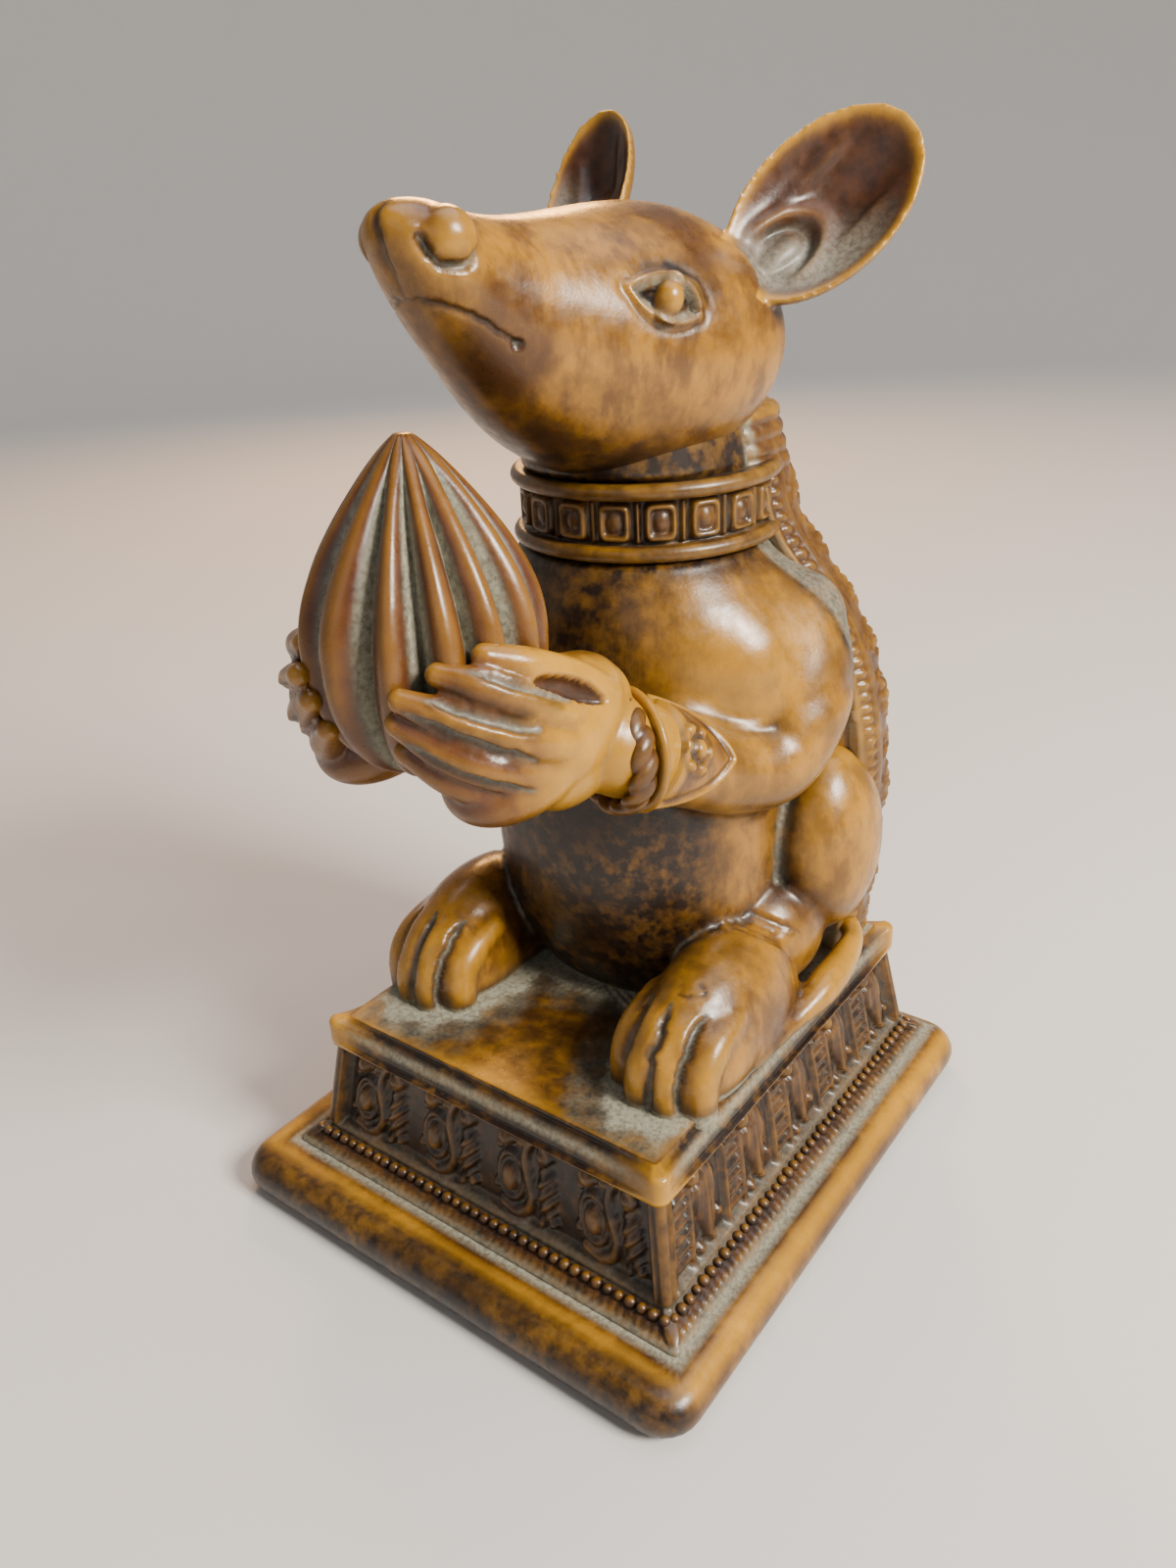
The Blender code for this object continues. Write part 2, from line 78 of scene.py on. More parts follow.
def soapstone():
    """Polished soapstone: blotchy honey-brown, dark in recesses and painted shade, dusty in the creases."""
    material = bpy.data.materials.new("polished_soapstone")
    material.use_nodes = True
    tree = material.node_tree
    shader = tree.nodes["Principled BSDF"]
    place = add(tree, "TexCoord").outputs["Object"]

    def noise(size, detail=3.0, rough=0.5, stretch=(1, 1, 1)):
        spot = add(tree, "Mapping", Vector=place, Scale=stretch).outputs[0]
        node = add(tree, "TexNoise", Vector=spot, Scale=1 / (size * MM), Detail=detail, Roughness=rough)
        return node.outputs[0]

    def given(name):
        return add(tree, "Attribute", {"attribute_name": name}).outputs["Fac"]

    def ramp(value, low, high, out_low=0.0, out_high=1.0):
        settings = {"interpolation_type": "SMOOTHSTEP"}
        names = {"Value": value, "From_Min": low, "From_Max": high, "To_Min": out_low, "To_Max": out_high}
        return add(tree, "MapRange", settings, **names).outputs[0]

    def maths(operation, a, b):
        return add(tree, "Math", {"operation": operation, "use_clamp": True}, i0=a, i1=b).outputs[0]

    def mixed(share, a, b):
        return add(tree, "Mix", {"data_type": "RGBA"}, i0=share, i6=a, i7=b).outputs[2]

    stain_and_shade, dust, worn, red = given("stain_and_shade"), given("dust"), given("worn"), given("red")
    cloud = ramp(noise(9, 4.0, 0.6), 0.38, 0.66)
    vein = ramp(noise(3.2, 5.0, 0.65, (1, 1, 0.45)), 0.4, 0.64)
    body = mixed(cloud, colour("93661a"), colour("4a2d0d"))
    body = mixed(maths("MULTIPLY", vein, 0.7), body, colour("3f240d"))
    body = mixed(maths("MULTIPLY", red, 0.85), body, colour("4f2917"))
    body = mixed(maths("MULTIPLY", worn, 0.75), body, colour("ba8822"))
    patch = ramp(noise(1.6, 4.0, 0.6), 0.25, 0.75, 0.6, 1.3)
    # The dark mark darkens the colour towards 190e07: stain in the recesses, and painted shade where it
    # stands for shade.
    body = mixed(maths("MULTIPLY", stain_and_shade, patch), body, colour("190e07"))
    grain = ramp(noise(0.5, 3.0, 0.7), 0.3, 0.7, 0.5, 1.3)
    settled = maths("MULTIPLY", dust, grain)
    body = mixed(settled, body, colour("8a8876"))
    tree.links.new(body, shader.inputs["Base Color"])

    rough = ramp(noise(1.1, 4.0, 0.6), 0.3, 0.75, 0.24, 0.4)
    rough = maths("ADD", rough, maths("MULTIPLY", settled, 0.5))
    rough = maths("ADD", rough, maths("MULTIPLY", stain_and_shade, 0.08))
    tree.links.new(rough, shader.inputs["Roughness"])
    shader.inputs["Specular IOR Level"].default_value = 0.42
    shader.inputs["Coat Weight"].default_value = 0.12
    shader.inputs["Coat Roughness"].default_value = 0.18

    pits = add(tree, "Bump", Strength=0.25, Distance=0.06 * MM, Height=noise(0.28, 4.0, 0.6))
    swell = noise(2.4, 3.0, 0.5)
    waves = add(tree, "Bump", Strength=0.5, Distance=0.12 * MM, Height=swell, Normal=pits.outputs[0])
    tree.links.new(waves.outputs[0], shader.inputs["Normal"])
    return material


STONE = soapstone()


class Surface:
    """A closed skin in millimetres, carved along its normals. Each point keeps the stone's four marks."""

    def __init__(self, points, faces):
        self.points = np.asarray(points, float)
        self.faces = [tuple(face) for face in faces]
        quads = np.array([face if len(face) == 4 else (*face, face[-1]) for face in self.faces])
        self.quads = quads
        pairs = np.concatenate([quads[:, (i, (i + 1) % 4)] for i in range(4)])
        pairs = np.unique(np.sort(pairs[pairs[:, 0] != pairs[:, 1]], axis=1), axis=0)
        self.pairs = np.concatenate([pairs, pairs[:, ::-1]])
        self.degree = np.bincount(self.pairs[:, 0], minlength=len(self.points)).clip(1)
        self.marks = {name: np.zeros(len(self.points)) for name in ("stain_and_shade", "dust", "worn", "red")}
        self.turn()

    def turn(self):
        """Works out the normals afresh."""
        p, q = self.points, self.quads
        face = np.cross(p[q[:, 2]] - p[q[:, 0]], p[q[:, 3]] - p[q[:, 1]])
        normal = np.zeros_like(p)
        for corner in range(4):
            for axis in range(3):
                normal[:, axis] += np.bincount(q[:, corner], face[:, axis], len(p))
        self.normals = normal / np.maximum(np.linalg.norm(normal, axis=1, keepdims=True), 1e-12)

    def averaged(self, values, rounds):
        """Values evened out with their neighbours."""
        values = values.reshape(len(self.points), -1).copy()
        start, end = self.pairs[:, 0], self.pairs[:, 1]
        for _ in range(rounds):
            for column in range(values.shape[1]):
                near = np.bincount(start, values[end, column], len(values)) / self.degree
                values[:, column] = (values[:, column] + near) / 2
        return values

    def mark(self, name, amount):
        """Raises one of the marks to the amount, where it isn't higher already."""
        self.marks[name] = np.clip(np.maximum(self.marks[name], amount), 0, 1)

    def soften(self, share, rounds):
        """Evens out the skin, fully where the share is 1."""
        self.points = self.points + share[:, None] * (self.averaged(self.points, rounds) - self.points)

    def push(self, amount):
        self.points = self.points + self.normals * np.asarray(amount)[:, None]

    def near(self, path):
        """Distance of each point from a curve laid on the skin, and how far along it that is, from 0 to 1."""
        path = np.array([tuple(k)[:3] for k in smooth_path([(*p, 0) for p in path])])
        path = np.array([self.points[np.argmin(((self.points - k) ** 2).sum(1))] for k in path])
        far = np.full(len(self.points), 99.0)
        share = np.zeros(len(self.points))
        reach = 6
        low, high = path.min(0) - reach, path.max(0) + reach
        some = np.where(((self.points > low) & (self.points < high)).all(1))[0]
        p = self.points[some]
        lengths = np.linalg.norm(np.diff(path, axis=0), axis=1)
        done = np.concatenate([[0], np.cumsum(lengths)]) / max(lengths.sum(), 1e-9)
        best, along = np.full(len(p), 99.0), np.zeros(len(p))
        for i in range(len(path) - 1):
            way = path[i + 1] - path[i]
            t = np.clip((p - path[i]) @ way / max(way @ way, 1e-12), 0, 1)
            d = np.linalg.norm(p - path[i] - t[:, None] * way, axis=1)
            closer = d < best
            best[closer] = d[closer]
            along[closer] = (done[i] + t * (done[i + 1] - done[i]))[closer]
        far[some], share[some] = best, along
        return far, share

    def groove(self, path, width, depth, stain_and_shade=0.8, dust=0.0, taper=0.15):
        """A round-bottomed groove, or a ridge where depth is negative. It dies out over taper at each end."""
        far, share = self.near(path)
        ends = np.clip(np.minimum(share, 1 - share) / max(taper, 1e-6), 0, 1) if taper else 1.0
        shape = np.clip(1 - (far / (width * (0.45 + 0.55 * ends))) ** 2, 0, 1) ** 1.5
        self.push(-depth * shape * ends)
        self.mark("stain_and_shade", stain_and_shade * shape)
        self.mark("dust", dust * shape**2)

    def dome(self, centre, radii, height):
        """A round swelling over an oval patch."""
        far = (((self.points - centre) / radii) ** 2).sum(1)
        self.push(height * np.clip(1 - far, 0, 1))

    def weather(self, fine=6, broad=50, depth=0.22, crease=0.12, stain_and_shade=0.85, dust=0.5, worn=0.6):
        """Stain in hollows, dust in the narrowest of them and wear on edges, read from the carved shape."""
        self.turn()
        fine_gap = ((self.averaged(self.points, fine) - self.points) * self.normals).sum(1)
        broad_gap = ((self.averaged(self.points, broad) - self.points) * self.normals).sum(1)
        fine_gap = self.averaged(fine_gap, 2)[:, 0]
        self.mark("stain_and_shade", stain_and_shade * np.clip(broad_gap / depth, 0, 1) ** 1.2)
        self.mark("stain_and_shade", stain_and_shade * np.clip(fine_gap / crease, 0, 1))
        self.mark("dust", dust * np.clip(fine_gap / crease - 0.45, 0, 1))
        self.mark("worn", worn * np.clip(-broad_gap / depth - 0.15, 0, 1))

    def piece(self, name):
        """The finished object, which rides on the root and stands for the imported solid."""
        mesh = bpy.data.meshes.new(name)
        mesh.from_pydata((self.points * MM).tolist(), [], self.faces)
        for mark, values in self.marks.items():
            mesh.attributes.new(mark, "FLOAT", "POINT").data.foreach_set("value", values.astype(np.float32))
        mesh.materials.append(STONE)
        mesh.shade_smooth()
        thing = bpy.data.objects.new(name, mesh)
        bpy.context.scene.collection.objects.link(thing)
        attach(thing, "root")
        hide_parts("mouse_figurine")
        return thing


def smooth_path(points, steps=6):
    """A curve through the points, each given as x, y, z and radius."""
    knots = [Vector(p) for p in points]
    knots = [2 * knots[0] - knots[1], *knots, 2 * knots[-1] - knots[-2]]
    path = []
    for a, b, c, d in zip(knots, knots[1:], knots[2:], knots[3:]):
        for i in range(steps):
            t = i / steps
            bend = (2 * a - 5 * b + 4 * c - d) * t**2 + (3 * b - a - 3 * c + d) * t**3
            path.append(0.5 * (2 * b + (c - a) * t + bend))
    path.append(knots[-2])
    return path


def step(value, low, high):
    """A smooth step from 0 at low to 1 at high."""
    t = np.clip((value - low) / (high - low), 0, 1)
    return t * t * (3 - 2 * t)


def fall(value, low, high):
    """A smooth fall from 1 at low to 0 at high."""
    return 1 - step(value, low, high)


def bell(value, middle, width):
    """A round bump of height 1 at the middle."""
    return np.exp(-(((value - middle) / width) ** 2))


def wrapped(rings):
    """Faces of a skin over rings of equal length, with a fan to a middle point at each end."""
    count, rows = len(rings[0]), len(rings)
    ends = [np.mean(rings[0], 0), np.mean(rings[-1], 0)]
    points = np.concatenate([np.asarray(rings, float).reshape(-1, 3), ends])
    faces = []
    for row in range(rows - 1):
        for i in range(count):
            j = (i + 1) % count
            faces.append((row * count + i, row * count + j, (row + 1) * count + j, (row + 1) * count + i))
    low, high = rows * count, rows * count + 1
    faces += [(low, (i + 1) % count, i) for i in range(count)]
    top = (rows - 1) * count
    faces += [(high, top + i, top + (i + 1) % count) for i in range(count)]
    return points, faces


# Plinth.
# A slab with a bullnose edge, then a beaded moulding, a die carved with scrolls, and a top slab whose upper
# edge has a hollow chamfer that runs out before each corner. All of it is cut from the same block.

SLAB_HALF = (29.6, 33.0)
SLAB_HEIGHT = 5.0
SLAB_BULLNOSE = 2.4
TOP_HALF = (21.9, 25.2)
TOP_SHIFT = (0.5, 1.5)
TOP_HEIGHT = 21.0
TOP_THICK = 3.25
TOP_ROUND = 0.5
DIE_LOW_OUT = 0.9
DIE_TOP_OUT = -0.9
FOOT_OUT = 3.5
FOOT_TOP = 7.0
DIE_TOP = 17.9
DIE_SUNK = 1.2
UNIT_HIGH = 9.2
POST_WIDE = 1.4
SCROLLS = (4, 5)
CORNER_STEPS = 6
CHAMFER_STEPS = 26
FEET_SHIFT = 0.7
FEET_APART = 15.3


def level(half, z, corner, pitch, centre=TOP_SHIFT, reference=TOP_HALF):
    """Points round a level rectangle. Each has its outward direction, its side and its place along it."""
    ring = []
    for side, (sx, sy) in enumerate(((1, 1), (-1, 1), (-1, -1), (1, -1))):
        middle = (centre[0] + sx * (half[0] - corner), centre[1] + sy * (half[1] - corner))
        for share in eased(0, 1, CORNER_STEPS):
            angle = math.pi / 2 * (side + share)
            out = (math.cos(angle), math.sin(angle))
            ring.append((middle[0] + corner * out[0], middle[1] + corner * out[1], z, *out, -1, 0.0))
        axis = 0 if side % 2 == 0 else 1
        count = max(int(2 * reference[axis] / pitch), 2)
        run = half[axis] - corner
        sign = -1 if side in (0, 1) else 1
        flat = ((0, 1), (-1, 0), (0, -1), (1, 0))[side]
        for i in range(1, count):
            along = run * (2 * i / count - 1) * sign
            x = centre[0] + (along if axis == 0 else flat[0] * half[0])
            y = centre[1] + (along if axis == 1 else flat[1] * half[1])
            ring.append((x, y, z, *flat, axis, along))
    return np.array(ring)


def sweep(rows, pitch, relief=None, **options):
    """A closed stack of levels. relief(side, along, z) says how far each point stands out."""
    rings = []
    for half, z, corner in rows:
        ring = level(half, z, corner, pitch, **options)
        out = relief(ring[:, 5], ring[:, 6], z) if relief else 0.0
        points = ring[:, :3].copy()
        points[:, :2] += ring[:, 3:5] * np.reshape(out, (-1, 1))
        rings.append(points)
    return Surface(*wrapped(rings))


def inset(half, by):
    return (half[0] - by, half[1] - by)


def eased(low, high, count):
    return [low + (high - low) * i / count for i in range(count + 1)]


def plinth_slab():
    """The lowest slab, with dust along the foot of the moulding and painted shade low down and on its front.
    """
    rows = [(inset(SLAB_HALF, s), 0.0, 1.6) for s in (28.0, 20.0, 10.0)]
    for i in range(13):
        angle = math.pi * i / 12
        by = SLAB_BULLNOSE * (1 - math.sin(angle))
        z = SLAB_HEIGHT / 2 * (1 - math.cos(angle))
        rows.append((inset(SLAB_HALF, by), z, 4.0 - by * 0.8))
    for by in (0.5, 1.0, 1.5, 2, 2.5, 3, 4, 6, 12, 24):
        rows.append((inset(SLAB_HALF, 2.6 + by), SLAB_HEIGHT, max(2.0 - by * 0.2, 0.4)))
    slab = sweep(rows, 0.8, centre=(0, 0), reference=SLAB_HALF)
    x, y, z = slab.points.T
    foot = inset(TOP_HALF, -FOOT_OUT)
    gap = np.maximum(np.abs(x - TOP_SHIFT[0]) - foot[0], np.abs(y - TOP_SHIFT[1]) - foot[1])
    slab.mark("dust", 0.95 * fall(gap, 0.3, 1.1) * (z > 4))
    slab.mark("stain_and_shade", 0.6 * fall(gap, 0.4, 1.8) * (z > 4))
    # Painted shade under the bullnose, darkest at the bottom.
    slab.mark("stain_and_shade", 0.75 * fall(z, 0.0, 1.6))
    # The front side is darker and less rubbed: partly its stain, partly painted shade, darkest low down.
    front = step(-y, SLAB_HALF[1] - 4.2, SLAB_HALF[1] - 2.4)
    slab.mark("worn", 0.8 * step(z, 3.2, 4.6) * step(gap, 1.2, 2.4) * (1 - 0.7 * front))
    slab.mark("stain_and_shade", 0.92 * front * (1 - 0.22 * step(z, 3.2, 4.8)))
    # Painted shade on the lower half of the bullnose.
    slab.mark("stain_and_shade", 0.35 * fall(z, 1.5, 3.5))
    return slab.piece("plinth_slab")


def tube(u, v, path, radius):
    """Height of a round strand that lies along a path on a face."""
    path = [tuple(k)[:2] for k in smooth_path([(*p, 0, 0) for p in path], 5)]
    best = np.full(np.shape(u), 9.0)
    for (ax, ay), (bx, by) in zip(path, path[1:]):
        wx, wy = bx - ax, by - ay
        t = np.clip(((u - ax) * wx + (v - ay) * wy) / max(wx * wx + wy * wy, 1e-9), 0, 1)
        best = np.minimum(best, np.hypot(u - ax - t * wx, v - ay - t * wy))
    return np.sqrt(np.clip(radius**2 - best**2, 0, None))


def knob(u, v, x, y, rx, ry, height):
    """Height of a round or oval knob on a face."""
    return height * np.sqrt(np.clip(1 - ((u - x) / rx) ** 2 - ((v - y) / ry) ** 2, 0, None))


def scroll_unit(u, v):
    """One S-shaped scroll with its knobs, a coiled leaf on one side and a nicked leaf on the other."""
    upper = ((2.0, 6.7), (2.8, 7.4), (2.0, 8.5), (0.6, 8.1), (-0.2, 6.4))
    lower = ((0.2, 4.6), (0.7, 3.0), (0.2, 1.5), (-1.1, 0.7), (-2.9, 1.1))
    shapes = [tube(u, v, upper + lower, 0.62) * 1.35]
    coil = np.hypot((u + 2.0) / 1.95, (v - 3.9) / 2.6)
    shapes.append(DIE_SUNK * np.sqrt(np.clip(1 - coil**2, 0, None)) - 0.75 * bell(coil, 0.6, 0.14))
    blade = knob(u, v, 2.5, 3.7, 1.4, 2.8, DIE_SUNK)
    nicks = 0.45 * np.abs(np.sin(2.6 * (v - 0.8 * (u - 2.2))))
    shapes.append(blade - nicks * (blade > 0))
    large = ((-2.3, 8.0, 1.25, 1.15, 1.7), (-0.6, 7.9, 0.75, 0.8, 1.1))
    middling = ((-3.4, 6.6, 0.6, 0.6, 0.8), (2.0, 7.3, 0.75, 0.75, 1.1))
    small = [(x, y, 0.55, 0.55, 0.8) for x, y in ((2.0, 0.9), (3.3, 1.3), (-0.4, 0.4), (-3.7, 2.6))]
    shapes += [knob(u, v, *sizes) for sizes in (*large, *middling, *small)]
    return np.maximum.reduce(shapes) - DIE_SUNK


def ladder_unit(u, v):
    """A dark niche with rungs between two rails, and beside it a tall leaf under a knob."""
    niche = (np.abs(u + 2.4) < 1.35) & (v > 0.5) & (v < 7.6 - 0.5 * (u + 2.4) ** 2)
    rungs = 0.75 * np.abs(np.cos(math.pi * v / 1.15)) ** 0.7
    across = (u - 1.7 - 0.35 * np.sin(0.7 * v)) / (0.55 + 0.3 * v)
    stem = 1.35 * np.sqrt(np.clip(1 - across**2, 0, None)) * (v < 6.6) * (v > 1.4)
    leaf = np.maximum(stem, knob(u, v, 1.9, 5.6, 2.35, 2.6, 1.35)) - 0.3 * np.abs(np.sin(2.4 * (u - 1.7)))
    shapes = [np.where(niche, rungs, np.maximum(leaf, 0))]
    for x in (-3.95, -0.85):
        shapes.append(tube(u, v, ((x, 0.4), (x + 0.15, 4.0), (x, 7.4)), 0.42) * 1.6 + 0.25)
    shapes.append(knob(u, v, -0.5, 8.1, 1.15, 1.0, 1.7))
    shapes += [knob(u, v, x, y, 0.7, 0.6, 1.0) for x, y in ((0.6, 0.8), (2.6, 0.9), (3.9, 2.4), (-2.4, 8.4))]
    return np.maximum.reduce(shapes) - DIE_SUNK


def die_out(share):
    """How far the die's leaning face stands outside the top slab's, from its foot at 0 to its top at 1."""
    return DIE_LOW_OUT + (DIE_TOP_OUT - DIE_LOW_OUT) * share


def die_relief(side, along, z):
    """Scrolls on the short sides and ladders with leaves on the long ones, between corner posts."""
    share = (z - FOOT_TOP) / (DIE_TOP - FOOT_TOP)
    v = UNIT_HIGH * share
    shape = np.full(len(side), -DIE_SUNK)
    for axis, count in enumerate(SCROLLS):
        run = 2 * (TOP_HALF[axis] - POST_WIDE)
        cell = run / count
        mid = along * TOP_HALF[axis] / (TOP_HALF[axis] + die_out(share))
        place = (mid + run / 2) / cell
        unit = np.clip(np.floor(place), 0, count - 1)
        u = (place - unit - 0.5) * cell
        raised = (ladder_unit if axis else scroll_unit)(u, np.full(len(u), v))
        post = np.clip(np.abs(mid) - run / 2, 0, POST_WIDE)
        flutes = 0.65 * np.abs(np.sin(math.pi * post / (POST_WIDE / 2))) ** 0.7 - 0.15
        raised = np.where(post > 0, flutes, raised)
        shape = np.where(side == axis, raised, shape)
    shape = np.where(side < 0, 0.35, shape)
    return shape * min(step(v, -0.1, 0.5), fall(v, UNIT_HIGH - 0.3, UNIT_HIGH))


def foot_relief(side, along, z):
    """A fine nicked edge along the outside, and a leaf over each corner."""
    share = (z - SLAB_HEIGHT - 0.5) / (FOOT_TOP - SLAB_HEIGHT - 0.6)
    if share <= 0 or share >= 1:
        return np.zeros(len(side))
    swell = 0.5 * math.sqrt(max(1 - ((share - 0.2) / 0.22) ** 2, 0))
    nicked = swell * np.sqrt(np.abs(np.sin(math.pi * along / 0.95))) - 0.4
    return np.where(side < 0, 0.45 * math.sin(math.pi * share), nicked)


def plinth_die():
    """Moulding and carved die."""
    foot = inset(TOP_HALF, -FOOT_OUT)
    rise = FOOT_TOP - SLAB_HEIGHT
    slope = [(0.35 + 2.1 * t, 0.5 + (rise - 0.6) * t) for t in eased(0, 1, 12)]
    rows = [(inset(foot, by), SLAB_HEIGHT + up, 0.6) for by, up in ((0, -0.5), (0, 0.2), (0.1, 0.4), *slope)]
    for share in eased(0.01, 0.995, 44):
        rows.append((inset(TOP_HALF, -die_out(share)), FOOT_TOP + (DIE_TOP - FOOT_TOP) * share, 0.5))
    rows += [(inset(TOP_HALF, 1.4), DIE_TOP + 0.5, 0.4)]

    def relief(side, along, z):
        return foot_relief(side, along, z) if z <= FOOT_TOP else die_relief(side, along, z)

    die = sweep(rows, 0.25, relief)
    x, y, z = die.points.T
    out = np.maximum(np.abs(x - TOP_SHIFT[0]) - TOP_HALF[0], np.abs(y - TOP_SHIFT[1]) - TOP_HALF[1])
    lean = die_out(np.clip((z - FOOT_TOP) / (DIE_TOP - FOOT_TOP), 0, 1))
    sunk = fall(out - lean, -1.1, -0.1)
    die.mark("stain_and_shade", np.where(z > FOOT_TOP, 0.68 + 0.32 * sunk, 0.75))
    die.mark("red", 0.6)
    die.mark("dust", 0.7 * fall(z, SLAB_HEIGHT + 0.1, SLAB_HEIGHT + 0.8))
    die.mark("dust", 0.25 * bell(z, FOOT_TOP, 0.5))
    die.weather(fine=4, broad=26, depth=0.22, crease=0.1, stain_and_shade=1.0, dust=0.35, worn=0.4)
    return die.piece("plinth_die")


def bead_row():
    """Nodes that set slightly uneven beads, evenly spaced, along the edges of a mesh."""
    tree = bpy.data.node_groups.new("bead_row", "GeometryNodeTree")
    sizes = dict.fromkeys(("Spacing", "Radius", "Smallest"), "Float")
    for name, kind in {"Path": "Geometry", **sizes, "Stone": "Material"}.items():
        tree.interface.new_socket(name, in_out="INPUT", socket_type="NodeSocket" + kind)
    tree.interface.new_socket("Beads", in_out="OUTPUT", socket_type="NodeSocketGeometry")
    start = add(tree, "NodeGroupInput").outputs
    path = add(tree, "MeshToCurve", Mesh=start["Path"]).outputs[0]
    spots = add(tree, "ResampleCurve", {"mode": "LENGTH"}, Curve=path, Length=start["Spacing"]).outputs[0]
    bead = add(tree, "MeshIcoSphere", Radius=start["Radius"], Subdivisions=2).outputs[0]
    size = add(tree, "FunctionNodeRandomValue", i2=start["Smallest"], i3=1.0, i8=7).outputs[1]
    row = add(tree, "InstanceOnPoints", Points=spots, Instance=bead, Scale=size).outputs[0]
    row = add(tree, "RealizeInstances", Geometry=row).outputs[0]
    row = add(tree, "SetMaterial", Geometry=row, Material=start["Stone"]).outputs[0]
    add(tree, "NodeGroupOutput", Beads=row)
    return tree


def baked(thing):
    """The skin that a thing's modifiers make. The thing itself is used up."""
    made = bpy.data.meshes.new_from_object(thing.evaluated_get(bpy.context.evaluated_depsgraph_get()))
    points = np.empty(len(made.vertices) * 3)
    made.vertices.foreach_get("co", points)
    faces = [tuple(face.vertices) for face in made.polygons]
    spent = thing.data
    bpy.data.objects.remove(thing)
    for mesh in (spent, made):
        bpy.data.meshes.remove(mesh)
    return Surface(points.reshape(-1, 3), faces)


def moulding_beads():
    """The row of beads carved along the moulding, each a little larger or smaller than the next."""
    half = inset(TOP_HALF, 1.85 - FOOT_OUT)
    signs = ((1, 1), (-1, 1), (-1, -1), (1, -1))
    mesh = bpy.data.meshes.new("bead_path")
    corners = [(TOP_SHIFT[0] + sx * half[0], TOP_SHIFT[1] + sy * half[1], FOOT_TOP - 0.6) for sx, sy in signs]
    mesh.from_pydata(corners, [(0, 1), (1, 2), (2, 3), (3, 0)], [])
    path = bpy.data.objects.new("bead_path", mesh)
    bpy.context.scene.collection.objects.link(path)
    row = path.modifiers.new("beads", "NODES")
    row.node_group = bead_row()
    sizes = {"Spacing": 1.3, "Radius": 0.68, "Smallest": 0.75, "Stone": STONE}
    for item in row.node_group.interface.items_tree:
        if item.name in sizes:
            row[item.identifier] = sizes[item.name]
    beads = baked(path)
    high = step(beads.normals[:, 2], 0.2, 0.9)
    # The beads are darker underneath as painted shade, and rubbed lighter on top.
    beads.mark("stain_and_shade", 0.95 - 0.5 * high)
    beads.mark("red", 0.6)
    beads.mark("worn", 0.4 * high)
    return beads.piece("moulding_beads")


